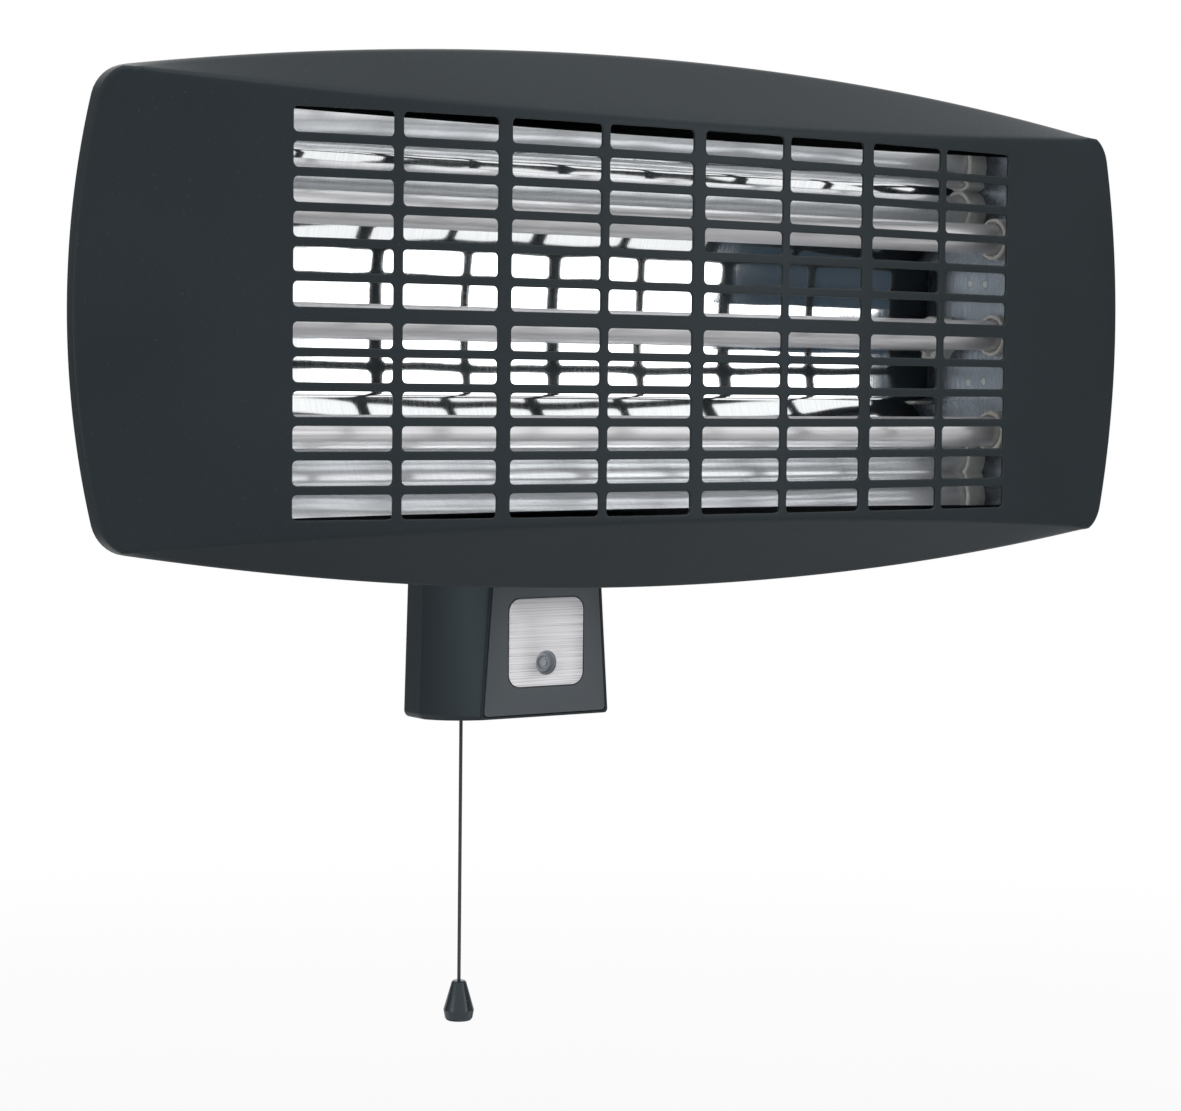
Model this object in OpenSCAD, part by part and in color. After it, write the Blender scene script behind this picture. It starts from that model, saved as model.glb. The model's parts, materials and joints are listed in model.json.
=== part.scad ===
// Wall-mounted quartz heater: a slotted, gently convex front cover over three quartz tubes,
// tilting on a wall box that holds the pull-cord switch and the pilot lamp.
// X runs to the viewer's right, Y into the wall, Z up. The origin lies on the wall plane,
// at the middle of the wall box. Sizes are in millimetres.

/* [Head] */
// Overall width of the head at mid height
head_w = 471; // [440:1:520]
// Overall height of the head at its middle
head_h = 197; // [190:1:210]
// Radius of the shallow arch along the top and the bottom
arch_r = 1400; // [1200:10:1800]
// Radius of the bowed ends
side_r = 300; // [280:5:400]
// Radius of the four outline corners
corner_r = 14; // [10:1:18]
// Radius of the convex front face about its vertical axis
face_r = 1078; // [1000:1:1200]
// Distance from the wall to the front-most line of the face
reach = 140; // [135:1:150]
// Height of the head's middle above the middle of the wall box
head_z = 110; // [108:1:118]
// Depth from the front-most line back to the edge of the rim
rim_back = 31; // [30:0.5:34]
// Depth of the rim's front edge, where the bevels end
rim_front = 27; // [26:0.5:28]
// Sheet thickness of the front cover
cover_t = 1.2; // [1:0.1:1.6]

/* [Bevels] */
// Height of the crease above the middle, on the centre line
crease_mid_z = 72.8; // [72:0.1:76]
// Height of the crease where it runs out at the ends
crease_end_z = 80.4; // [78:0.1:81]
// Half length of the crease
crease_x = 217; // [210:1:220]

/* [Grille] */
// Width of one slot
slot_w = 36.6; // [34:0.1:38]
// Height of one slot
slot_h = 8.7; // [8:0.1:9.5]
// Corner radius of a slot
slot_r = 1.7; // [1:0.1:3]
// Narrow upright bar
bar_thin = 3.4; // [3:0.1:5]
// Wide upright bar
bar_wide = 5.3; // [4:0.1:7]
// Height of a cross bar
cross_bar = 3.1; // [2.5:0.1:4]
// Height of the middle cross bar
mid_bar = 5.1; // [4:0.1:7]
// Rows of slots above the middle bar, and as many below
half_rows = 6; // [4:1:6]

/* [Tubes] */
// Outside diameter of a quartz tube
tube_d = 12; // [10:0.5:14]
// Height between two tubes
tube_pitch = 39; // [36:1:42]
// Height of the middle tube below the head's middle
tube_sink = 1.3; // [0:0.1:2]
// Depth of the tubes behind the front-most line
tube_y = 30; // [28:1:34]
// Half length of a tube
tube_half = 175; // [172:1:178]
// Diameter of the ceramic end caps
cap_d = 17; // [15:0.5:20]

/* [Wall box] */
// Height of the wall box
box_h = 86.8; // [80:0.2:96]
// Depth of the wall box
box_depth = 40; // [36:1:44]
// Depth of the straight-sided rear shell
rear_depth = 12; // [10:0.5:14]
// Width of the front panel at the bottom
panel_w_low = 57.6; // [54:0.1:60]
// Width of the front panel at the top
panel_w_high = 45.8; // [42:0.1:50]
// Width of the box at the bottom
box_w_low = 82.8; // [80:0.2:90]
// Width of the box at the top
box_w_high = 78.6; // [76:0.2:82]
// Wall thickness of the moulded shells
shell_t = 2.5; // [2:0.1:3]
// Side of the square metal plate
badge_w = 35; // [30:0.5:38]
// Hole of the pilot lamp in the metal plate
lamp_hole_d = 9.7; // [8:0.1:11]

/* [Wall fixing] */
// Distance between the wall screws, across
fix_x = 66; // [62:1:68]
// Distance between the wall screws, up and down
fix_z = 64; // [60:1:66]
// Diameter of the wall screw holes
fix_d = 5; // [4.5:0.1:5.5]

/* [Tilt joint] */
// Height of the pivot above the middle of the wall box
pivot_z = 54; // [52:1:58]
// Distance of the pivot from the wall
pivot_y = 28; // [26:1:30]
// Diameter of the pivot bolt
pivot_d = 6; // [5:0.5:8]

/* [Pull cord] */
// Distance of the cord to the left of the middle
cord_x = 22; // [20:1:24]
// Distance of the cord from the wall
cord_y = 12; // [10:1:14]
// Diameter of the cord
cord_d = 1.4; // [1.2:0.1:2]
// Length of the knob
knob_h = 16; // [14:0.1:18]
// Greatest diameter of the knob
knob_d = 11.8; // [10:0.1:14]

/* [Hidden] */
$fn = 64;
eps = 0.01;

// Places of the head and of its parts
half_w = head_w / 2;
half_h = head_h / 2;
arch_c = half_h - arch_r;
side_c = half_w - side_r;
row_pitch = slot_h + cross_bar;
col_pitch = 2 * slot_w + bar_thin + bar_wide;
sheet_t = 0.8;
end_x = 178;
cap_x = 168.7;
neck_x = 189;
link_x = 191;
bar_t = 1;
tub_back = 88;
tub_t = 1.2;
tub_half_w = 196;
tub_half_h = 58;
coil_d = 7;
tube_bore = 9.5;
levels = [tube_pitch - tube_sink, -tube_sink, -tube_pitch - tube_sink];

// Places in the wall box
box_top = box_h / 2 - 3.4;
box_low = -box_h / 2 - 3.4;
floor_rise = 2;
roof_fall = 1;
panel_low = -43.6;
panel_top = 37.6;
corner_seam = 3;
corner_front = 1.6;
seam_y = -rear_depth;
front_y = -box_depth;
switch_x = -cord_x;
lug_x = 22;
lug_t = 5;
ear_x = 19.5;
ear_t = 2;
bolt_r = pivot_d / 2;
bore_r = bolt_r + 0.05;
wheel_z = -16;
wheel_r = 5.2;
wheel_x = switch_x + 9;
knob_top = -153.4;
recess_y = front_y + 2;
seat_y = front_y + 0.7;
lamp_seat_y = front_y + 3.5;
badge_z = -15;
lamp_z = -23.3;
screw_x = [-33, 33];
boss_y = -21;
screw_z = [-14, 10];
inlet_x = 26;
inlet_y = -7.4;
inlet_r = 3.2;
inlet_od = 8.4;
clamp_z = -27;
cable_x = -33.2;
cable_out_y = -6;
cable_in_z = -30;
cable_d = 6;

black = [0.2, 0.22, 0.235];
panel_grey = [0.3, 0.32, 0.335];
steel = [0.7, 0.71, 0.72];
brass = [0.78, 0.64, 0.36];
white = [0.93, 0.92, 0.9];

// Helpers: a plate standing in the XZ plane, rods along each axis and rounded outlines

module upright(y0, y1) {
    translate([0, y1, 0]) rotate([90, 0, 0]) linear_extrude(y1 - y0) children();
}

module rod_x(x0, x1, d, y = 0, z = 0) {
    translate([x0, y, z]) rotate([0, 90, 0]) cylinder(d = d, h = x1 - x0);
}

module rod_y(y0, y1, d, x = 0, z = 0) {
    translate([x, y1, z]) rotate([90, 0, 0]) cylinder(d = d, h = y1 - y0);
}

function arc(c, r, a0, a1, n) =
    [for (i = [0 : n]) let (a = a0 + (a1 - a0) * i / n) [c.x + r * cos(a), c.y + r * sin(a)]];

function mirror_x(points) = [for (i = [len(points) - 1 : -1 : 0]) [-points[i].x, points[i].y]];
function mirror_z(points) = [for (i = [len(points) - 1 : -1 : 0]) [points[i].x, -points[i].y]];

function rounded(w, h, r, n = 4) = concat(
    arc([w / 2 - r, h / 2 - r], r, 0, 90, n), arc([-w / 2 + r, h / 2 - r], r, 90, 180, n),
    arc([-w / 2 + r, -h / 2 + r], r, 180, 270, n), arc([w / 2 - r, -h / 2 + r], r, 270, 360, n));

// Trapezoid with rounded corners, wider at the bottom
function trapezoid(w_low, w_high, z_low, z_high, r, n = 4) =
    let (lean = atan((w_low - w_high) / 2 / (z_high - z_low)))
    let (hi = w_high / 2 - r, lo = w_low / 2 - r)
    concat(arc([hi, z_high - r], r, lean, 90, n), arc([-hi, z_high - r], r, 90, 180 - lean, n),
        arc([-lo, z_low + r], r, 180 - lean, 270, n), arc([lo, z_low + r], r, 270, 360 + lean, n));

// Outline of the head: arches above and below, bowed ends and round corners, drawn in by d.
// The corner's centre is where circles about the arch's and the end's centres cross.
cross_a = arch_r - corner_r;
cross_b = side_r - corner_r;
span = sqrt(side_c * side_c + arch_c * arch_c);
along = (cross_a * cross_a - cross_b * cross_b + span * span) / (2 * span);
aside = sqrt(cross_a * cross_a - along * along);
toward = [side_c, -arch_c] / span;
corner_c = [toward.x * along + toward.y * aside, arch_c + toward.y * along - toward.x * aside];
arch_end = atan2(corner_c.y - arch_c, corner_c.x);
side_end = atan2(corner_c.y, corner_c.x - side_c);

function quarter(d) = concat(
    arc([side_c, 0], side_r - d, 0, side_end, 5),
    arc(corner_c, corner_r - d, side_end + 8, arch_end - 4, 6),
    arc([0, arch_c], arch_r - d, arch_end, 90, 10));
function inner(p, last) = [for (i = [1 : last]) p[i]];
function half_outline(d) = concat(quarter(d), inner(mirror_x(quarter(d)), len(quarter(d)) - 1));
function head_outline(d) =
    let (half = half_outline(d)) concat(half, inner(mirror_z(half), len(half) - 2));

module head_place() {
    translate([0, -reach, head_z]) children();
}

// Front cover: a convex face with two ruled bevels that run out at the ends, carried along X
// as sections between the bottom and the top arch. The inner form is drawn in by the sheet.
edge = 0.8;

function face_depth(x) = face_r - sqrt(face_r * face_r - x * x);
function crease_z(x) = crease_mid_z + (crease_end_z - crease_mid_z) * pow(x / crease_x, 2);
function stations(d) =
    let (half = inner(quarter(d), len(quarter(d)) - 1))
    concat([for (p = half) [-p.x, p.y]], [for (i = [len(half) - 2 : -1 : 0]) half[i]]);

function cover_section(p, d, back) =
    let (x = abs(p.x), face = face_depth(x) + d, bevelled = x < crease_x)
    let (low = bevelled ? crease_z(x) - 0.7 * d : p.y - edge)
    let (turn = bevelled ? rim_front + 0.5 * d : face + edge)
    [[p.x, back, -p.y], [p.x, turn, -p.y], [p.x, face, -low],
     [p.x, face, low], [p.x, turn, p.y], [p.x, back, p.y]];

module cover_form(d, back) {
    row = stations(d);
    last = len(row) - 1;
    polyhedron(points = [for (p = row) each cover_section(p, d, back)], faces = concat(
        [[for (k = [5 : -1 : 0]) k]],
        [for (i = [0 : last - 1], k = [0 : 5])
            let (a = 6 * i + k, b = 6 * i + (k + 1) % 6) each [[a, b, b + 6], [a, b + 6, a + 6]]],
        [[for (k = [0 : 5]) 6 * last + k]]));
}

module slots() {
    for (side = [-1, 1], half = [0 : half_rows - 1], up = [-1, 1], i = [0 : 3]) {
        x = bar_wide / 2 + slot_w / 2 + i * (slot_w + bar_thin) + (i > 1 ? bar_wide - bar_thin : 0);
        z = mid_bar / 2 + slot_h / 2 + half * row_pitch;
        translate([side * x, up * z]) polygon(rounded(slot_w, slot_h, slot_r, 3));
    }
}

tub_flange_y = rim_back - tub_t;
cover_fix = [for (x = [-226.8, 226.8], z = [-40, 40]) [x, z]];

module front_cover() {
    color(black) head_place() difference() {
        union() {
            difference() {
                cover_form(0, rim_back);
                cover_form(cover_t, rim_back + 1);
                upright(-1, 20) slots();
            }
            for (side = [0, 1], z = [-44, 36]) mirror([side, 0, 0])
                translate([223.5, 25.9, z]) cube([8.5, tub_flange_y - 0.1 - 25.9, 8]);
        }
        for (h = cover_fix) rod_y(26.4, tub_flange_y + 1, 2.7, h.x, h[1]);
    }
}

// Rear housing: a flange that sits inside the cover's rim, and a tapered tub with vent slots
tub_rim = cover_t + 0.3;
tub_neck = 4;
neck_scale = 0.97;

module tub_form(d, front) {
    hull() {
        upright(front, rim_back) scale([neck_scale, 1]) polygon(head_outline(tub_neck + d));
        upright(tub_back - d - 0.1, tub_back - d)
            polygon(rounded(2 * (tub_half_w - d), 2 * (tub_half_h - d), 24, 6));
    }
}

vent_x = [for (i = [0 : 5]) 66 + i * 22];
bracket_holes = [for (x = [-12, 12], z = [-32, -12]) [x, z]];

module rear_housing() {
    color(black) head_place() difference() {
        union() {
            upright(tub_flange_y, rim_back) polygon(head_outline(tub_rim));
            tub_form(0, rim_back - 0.1);
        }
        tub_form(tub_t, tub_flange_y - 1);
        for (h = cover_fix) rod_y(tub_flange_y - 1, rim_back + 1, 2.7, h.x, h[1]);
        upright(tub_back - 4, tub_back + 1) for (side = [-1, 1], x = vent_x, z = [-28, 28])
            translate([side * x, z]) polygon(rounded(5, 34, 2.4));
        for (h = bracket_holes) rod_y(tub_back - 4, tub_back + 1, 4.2, h.x, h[1]);
        rod_y(tub_back - 4, tub_back + 1, 12, cable_x, cable_in_z);
    }
}

// Reflector: a folded trough of polished sheet, closed by an end plate each side. Its section runs
// from the upper front edge round the back to the lower one, and is drawn out by the sheet.
trough_folds = [[17.5, 70], [32.8, 58.9], [43, 40.4], [48.3, 27.3], [49.1, 9.4]];
trough_section = concat(trough_folds, mirror_z(trough_folds));

function square_to(a, b) = let (d = (b - a) / norm(b - a)) [-d.y, d.x];
function trough(off) =
    let (p = trough_section, last = len(trough_section) - 1)
    [for (i = [0 : last])
        let (before = square_to(p[max(i, 1) - 1], p[max(i, 1)]))
        let (after = square_to(p[min(i, last - 1)], p[min(i, last - 1) + 1]))
        p[i] + off * (before + after) / (1 + before * after)];
function reversed(p) = [for (i = [len(p) - 1 : -1 : 0]) p[i]];

// A profile in the YZ plane carried along X
module along_x(x0, x1) {
    translate([x0, 0, 0]) rotate([90, 0, 90]) linear_extrude(x1 - x0) children();
}

module reflector() {
    color(white) head_place() along_x(-end_x, end_x)
        polygon(concat(trough(0), reversed(trough(sheet_t))));
}

end_fix_y = 44;
end_fix_z = [-20, 20];

module end_plate(side) {
    x0 = side > 0 ? end_x : -end_x - sheet_t;
    color(steel) head_place() difference() {
        along_x(x0, x0 + sheet_t) polygon(trough(sheet_t));
        for (z = levels) rod_x(x0 - 1, x0 + 2, 12.4, tube_y, z);
        for (z = end_fix_z) rod_x(x0 - 1, x0 + 2, 3.2, end_fix_y, z);
    }
}

module left_end_plate() { end_plate(-1); }
module right_end_plate() { end_plate(1); }

// Quartz tubes, each with its wound heating wire as a plain core
module quartz_tube(z) {
    color([0.85, 0.84, 0.84, 0.6]) head_place() difference() {
        rod_x(-tube_half, tube_half, tube_d, tube_y, z);
        rod_x(-tube_half - 1, tube_half + 1, tube_bore, tube_y, z);
    }
}

module heating_coil(z) {
    color(steel) head_place() rod_x(-tube_half + 2, tube_half - 2, coil_d, tube_y, z);
}

module top_quartz_tube() { quartz_tube(levels[0]); }
module middle_quartz_tube() { quartz_tube(levels[1]); }
module bottom_quartz_tube() { quartz_tube(levels[2]); }
module top_heating_coil() { heating_coil(levels[0]); }
module middle_heating_coil() { heating_coil(levels[1]); }
module bottom_heating_coil() { heating_coil(levels[2]); }

// Ceramic caps: each has a wider mouth round its tube and a neck through the end plate
module tube_cap(z) {
    difference() {
        union() {
            rod_x(cap_x, end_x, cap_d, tube_y, z);
            rod_x(end_x, neck_x, 12, tube_y, z);
        }
        rod_x(cap_x - 1, cap_x + 2.5, tube_d + 1.6, tube_y, z);
        rod_x(cap_x, tube_half, tube_d + 0.3, tube_y, z);
        rod_x(tube_half - 1, neck_x + 1, 3.4, tube_y, z);
    }
}

module right_tube_caps() {
    color(white) head_place() for (z = levels) tube_cap(z);
}

module left_tube_caps() {
    color(white) head_place() mirror([1, 0, 0]) for (z = levels) tube_cap(z);
}

module tube_pins_at(side) {
    color(brass) head_place() for (z = levels)
        mirror([side > 0 ? 0 : 1, 0, 0]) rod_x(tube_half - 1.9, link_x + 3, 3.2, tube_y, z);
}

module left_tube_pins() { tube_pins_at(-1); }
module right_tube_pins() { tube_pins_at(1); }

// Link bar: it joins the three tubes at the left, and straps lead on at the right
module left_link_bar() {
    color(brass) head_place() difference() {
        translate([-link_x - bar_t, tube_y - 4, levels[2] - 5])
            cube([bar_t, 8, 2 * tube_pitch + 10]);
        for (z = levels) rod_x(-link_x - 3, -link_x + 1, 3.6, tube_y, z);
    }
}

module right_link_straps() {
    color(brass) head_place() difference() {
        for (z = levels) translate([link_x, tube_y - 4, z - 5]) cube([bar_t, 24, 10]);
        for (z = levels) rod_x(link_x - 1, link_x + 3, 3.6, tube_y, z);
    }
}

// Thermal cut-out on a bracket behind the reflector
cutout_y = 50.5;
cutout_t = 7.7;
cutout_x = 90;

module thermal_cutout() {
    color(white) head_place() rod_y(cutout_y, cutout_y + cutout_t, 16, cutout_x, 0);
}

module cutout_bracket() {
    color(steel) head_place() {
        translate([cutout_x - 12, tub_back - tub_t - 1, -10]) cube([24, 1, 20]);
        rod_y(cutout_y + cutout_t, tub_back - tub_t - 0.5, 6, cutout_x, 0);
    }
}

module head_terminal_block() {
    color(white) head_place() difference() {
        translate([128, 72, -10]) cube([34, tub_back - tub_t - 72, 20]);
        for (x = [134, 145, 156]) {
            rod_y(71, 76, 5, x, 4);
            translate([x, 79, -11]) cylinder(d = 4, h = 22);
        }
    }
}

module cover_screws() {
    color(steel) head_place() for (h = cover_fix) {
        rod_y(rim_back, rim_back + 1.4, 5, h.x, h[1]);
        rod_y(26.6, rim_back, 2.6, h.x, h[1]);
    }
}

// Folded brackets stand on the housing's back wall and hold the end plates with the reflector
foot_y = tub_back - tub_t;

module reflector_brackets() {
    color(steel) head_place() for (side = [0, 1]) mirror([side, 0, 0]) difference() {
        union() {
            translate([end_x + sheet_t, tube_y + 8, -26]) cube([1, foot_y - tube_y - 8, 52]);
            translate([end_x - 10, foot_y - 1, -26]) cube([10 + sheet_t + 1, 1, 52]);
        }
        for (z = end_fix_z) rod_x(end_x, end_x + 4, 3.2, end_fix_y, z);
    }
}

module end_plate_screws() {
    color(steel) head_place() for (side = [0, 1], z = end_fix_z)
        mirror([side, 0, 0]) {
            rod_x(end_x + sheet_t + 1, end_x + sheet_t + 2.8, 6, end_fix_y, z);
            rod_x(end_x, end_x + sheet_t + 1, 2.9, end_fix_y, z);
        }
}

// Hinge bracket: a folded plate screwed to the housing, with two ears that reach the pivot
tub_wall_y = tub_back - reach;

module ear_outline() {
    polygon([[-pivot_y - 4, pivot_z - 8], [tub_wall_y, head_z - 40], [tub_wall_y, head_z - 6],
        [tub_wall_y + 8, head_z - 10], [-pivot_y + 8, pivot_z + 4], [-pivot_y, pivot_z]]);
}

module hinge_bracket() {
    color(black) difference() {
        union() {
            translate([-ear_x, tub_wall_y, head_z - 40]) cube([2 * ear_x, ear_t, 36]);
            for (side = [0, 1]) mirror([side, 0, 0]) {
                along_x(ear_x - ear_t, ear_x) ear_outline();
                rod_x(ear_x - ear_t, ear_x, 18, -pivot_y, pivot_z);
            }
        }
        rod_x(-ear_x - 1, ear_x + 1, 2 * bore_r, -pivot_y, pivot_z);
        for (h = bracket_holes) rod_y(tub_wall_y - 1, tub_wall_y + 3, 4.2, h.x, head_z + h[1]);
    }
}

module bracket_screws() {
    color(steel) for (h = bracket_holes) {
        rod_y(tub_wall_y + ear_t, tub_wall_y + ear_t + 2, 7, h.x, head_z + h[1]);
        rod_y(tub_wall_y - 5, tub_wall_y + ear_t, 4, h.x, head_z + h[1]);
    }
}

// Link cable between the wall box and the head, one smooth bend with a grommet at each end
function unit(v) = v / norm(v);
function bezier(p, t) = (1 - t) * (1 - t) * (1 - t) * p[0] + 3 * (1 - t) * (1 - t) * t * p[1]
    + 3 * (1 - t) * t * t * p[2] + t * t * t * p[3];

// A tube of n sides through points that stay in a plane of constant X
module swept_tube(points, r, n) {
    last = len(points) - 1;
    rings = [for (i = [0 : last])
        let (d = unit(points[min(i + 1, last)] - points[max(i - 1, 0)]), up = cross(d, [1, 0, 0]))
        each [for (k = [0 : n - 1]) points[i] + r * (cos(360 * k / n) * [1, 0, 0] + sin(360 * k / n) * up)]];
    polyhedron(points = rings, faces = concat(
        [[for (k = [0 : n - 1]) k]],
        [for (i = [0 : last - 1], k = [0 : n - 1])
            let (a = n * i + k, b = n * i + (k + 1) % n) [a, a + n, b + n, b]],
        [[for (k = [n - 1 : -1 : 0]) n * last + k]]));
}

link_bend = [
    [cable_x, cable_out_y, box_top + 0.5], [cable_x, cable_out_y, box_top + 32],
    [cable_x, cable_out_y - 12, head_z + cable_in_z], [cable_x, tub_wall_y - 3, head_z + cable_in_z]
];

module link_cable() {
    color(black) swept_tube([for (i = [0 : 14]) bezier(link_bend, i / 14)], cable_d / 2, 12);
}

module grommet_ring(r_bore) {
    rotate_extrude() polygon([[r_bore, -1.5], [8, -1.5], [8, -0.1], [5.9, -0.1], [5.9, tub_t + 0.1],
        [8, tub_t + 0.1], [8, 3], [r_bore, 3]]);
}

module head_grommet() {
    color(black) translate([cable_x, tub_wall_y, head_z + cable_in_z])
        rotate([90, 0, 0]) grommet_ring(cable_d / 2 + 0.1);
}

module box_grommet() {
    color(black) translate([cable_x, cable_out_y, 0]) difference() {
        union() {
            translate([0, 0, box_top + 0.1]) cylinder(d = 8.8, h = 2);
            translate([0, 0, box_top - shell_t]) cylinder(d = 7.6, h = shell_t + 0.2);
        }
        translate([0, 0, box_top - 4]) cylinder(d = cable_d + 0.2, h = 8);
    }
}

// Wall box, rear shell: straight sides, fixing bosses and the two lugs of the tilt joint
module box_outline(inset) {
    polygon(trapezoid(box_w_low - 2 * inset, box_w_high - 2 * inset, box_low + inset,
        box_top - inset, corner_seam - inset * 0.4, 8));
}

module wall_holes(y0, y1, d) {
    for (x = [-fix_x / 2, fix_x / 2], z = [-fix_z / 2, fix_z / 2]) rod_y(y0, y1, d, x, z - 4);
}

module lug_outline() {
    polygon([[-1, box_top - 4], [-1, pivot_z - 4], [-pivot_y + 6, pivot_z + 5.2],
        [-pivot_y - 4, pivot_z - 6.9], [seam_y, box_top], [seam_y, box_top - 4]]);
}

module box_rear_shell() {
    color(black) difference() {
        union() {
            difference() {
                upright(seam_y, 0) box_outline(0);
                upright(seam_y - 1, -3) box_outline(shell_t);
            }
            wall_holes(-9, -2, 9);
            for (x = screw_x, z = screw_z) rod_y(seam_y, -2, 6.4, x, z);
            for (side = [0, 1]) mirror([side, 0, 0]) {
                along_x(lug_x, lug_x + lug_t) lug_outline();
                rod_x(lug_x, lug_x + lug_t, 16, -pivot_y, pivot_z);
            }
        }
        wall_holes(-13, 1, fix_d);
        rod_x(-lug_x - lug_t - 1, lug_x + lug_t + 1, 2 * bore_r, -pivot_y, pivot_z);
        for (x = screw_x, z = screw_z) {
            rod_y(-13, 1, 3.2, x, z);
            rod_y(-1.8, 1, 5.8, x, z);
        }
        translate([cable_x, cable_out_y, box_top - 5]) cylinder(d = 7.6, h = 8);
        translate([inlet_x, inlet_y, box_low - 1]) cylinder(d = inlet_od, h = 5);
        translate([switch_x, -cord_y, box_low - 1]) cylinder(d = 6, h = 5);
    }
}

// Wall box, front shell: from the seam (t = 0) to the front (t = 1) it draws in by a shallow curve
function flare(t) = 1.5 * (1 - t) - 0.5 * (1 - t) * (1 - t);

function shell_section(t, inset) =
    let (front_low = panel_w_low + 2.4, front_high = panel_w_high + 2.4, share = flare(t))
    let (low = front_low + (box_w_low - front_low) * share - 2 * inset)
    let (high = front_high + (box_w_high - front_high) * share - 2 * inset)
    let (z_low = box_low + floor_rise * (1 - share) + inset)
    let (z_high = box_top - roof_fall * (1 - share) - inset)
    let (r = corner_seam + (corner_front - corner_seam) * t - inset * 0.4)
    let (y = seam_y - (box_depth - rear_depth - inset * 1.4) * t)
    [for (p = trapezoid(low, high, z_low, z_high, r)) [p.x, y, p.y]];

shell_steps = 7;

module shell_form(inset, lead) {
    rings = [for (i = [-1 : shell_steps])
        let (ring = shell_section(max(i, 0) / shell_steps, inset))
        [for (p = ring) i < 0 ? [p.x, p.y + lead, p.z] : p]];
    n = len(rings[0]);
    last = len(rings) - 1;
    polyhedron(points = [for (ring = rings) each ring], faces = concat(
        [[for (k = [0 : n - 1]) k]],
        [for (i = [0 : last - 1], k = [0 : n - 1])
            let (a = n * i + k, b = n * i + (k + 1) % n) each [[a, a + n, b + n], [a, b + n, b]]],
        [[for (k = [n - 1 : -1 : 0]) n * last + k]]));
}

module panel_outline(grow) {
    polygon(trapezoid(panel_w_low + 2 * grow - 0.4, panel_w_high + 2 * grow, panel_low - grow,
        panel_top + grow, 1.6));
}

module box_front_shell() {
    color(black) difference() {
        union() {
            difference() {
                shell_form(0, 0.001);
                shell_form(shell_t, 1);
            }
            for (x = screw_x, z = screw_z) rod_y(boss_y, seam_y, 6.4, x, z);
        }
        upright(front_y - 1, recess_y) panel_outline(0.2);
        for (x = screw_x, z = screw_z) rod_y(boss_y + 2, seam_y + 1, 2.7, x, z);
        rod_y(front_y - 1, front_y + 8, lamp_hole_d + 0.6, 0, lamp_z);
        translate([switch_x, -cord_y, box_low - 1]) cylinder(d = 6, h = 5);
    }
}

module front_panel() {
    color(panel_grey) difference() {
        upright(front_y - 0.3, recess_y) panel_outline(0);
        upright(front_y - 1, seat_y) translate([0, badge_z])
            polygon(rounded(badge_w + 0.4, badge_w + 0.4, 5.2, 6));
        rod_y(front_y - 1, front_y + 3, lamp_hole_d, 0, lamp_z);
    }
}

module metal_plate() {
    color([0.8, 0.8, 0.82]) difference() {
        upright(front_y - 0.5, seat_y) translate([0, badge_z])
            polygon(rounded(badge_w, badge_w, 5, 6));
        rod_y(front_y - 1, front_y + 1, lamp_hole_d, 0, lamp_z);
    }
}

// Pilot lamp: a clear lens set back in the hole, with its lamp body behind
module lamp_lens() {
    color([0.55, 0.57, 0.6]) difference() {
        union() {
            rod_y(front_y + 2.2, lamp_seat_y, lamp_hole_d - 0.3, 0, lamp_z);
            rod_y(front_y + 1, front_y + 2.2, 4.6, 0, lamp_z);
        }
        rod_y(front_y, front_y + 1.6, 3.4, 0, lamp_z);
    }
}

module lamp_body() {
    color(white) {
        rod_y(lamp_seat_y, front_y + 5, lamp_hole_d + 3.3, 0, lamp_z);
        rod_y(front_y + 5, front_y + 17, 7, 0, lamp_z);
        for (x = [-2, 2]) rod_y(front_y + 17, front_y + 22, 1, x, lamp_z);
    }
}

// Pull-cord switch: case, cover, slider with its pawl, ratchet wheel, contacts and spring
case_x0 = switch_x - 6;
case_x1 = switch_x + 18;
case_y0 = -20;
case_y1 = -4.5;
case_z0 = -30;
case_z1 = case_z0 + 26;
wall = 1.5;
slider_z0 = case_z1 - wall - 11;

module switch_case() {
    color(white) difference() {
        translate([case_x0, case_y0, case_z0])
            cube([case_x1 - case_x0, case_y1 - case_y0, case_z1 - case_z0]);
        translate([case_x0 + wall, case_y0 + wall, case_z0 + wall])
            cube([case_x1 - case_x0 - 2 * wall, case_y1 - case_y0, case_z1 - case_z0 - 2 * wall]);
        translate([switch_x, -cord_y, case_z0 - 1]) cylinder(d = cord_d + 1, h = 4);
    }
}

module switch_cover() {
    color(white) translate([case_x0, case_y1, case_z0])
        cube([case_x1 - case_x0, -3 - case_y1, case_z1 - case_z0]);
}

module switch_contacts() {
    color(brass) for (x = [case_x0 + 5, case_x0 + 12, case_x0 + 19])
        translate([x - 2, case_y0 + 5, case_z1]) cube([4, 0.8, 7]);
}

module wheel_shaft() {
    color(steel) rod_y(case_y0 + wall, case_y1, 2, wheel_x, wheel_z);
}

module ratchet_wheel() {
    teeth = 8;
    color(white) difference() {
        upright(-cord_y - 3, -cord_y + 3) translate([wheel_x, wheel_z]) polygon([
            for (i = [0 : teeth - 1]) let (a = 360 * i / teeth)
                each [wheel_r * [cos(a), sin(a)], (wheel_r - 1.1) * [cos(a + 8), sin(a + 8)]]]);
        rod_y(-cord_y - 4, -cord_y + 4, 2.1, wheel_x, wheel_z);
    }
}

module switch_slider() {
    color(black) difference() {
        union() {
            translate([switch_x - 3, -cord_y - 3, slider_z0]) cube([6, 6, 10]);
            translate([switch_x + 2.9, -cord_y - 2, slider_z0 + 4]) cube([0.5, 4, 2]);
        }
        translate([switch_x, -cord_y, slider_z0 - 1]) cylinder(d = cord_d, h = 9);
    }
}

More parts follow.
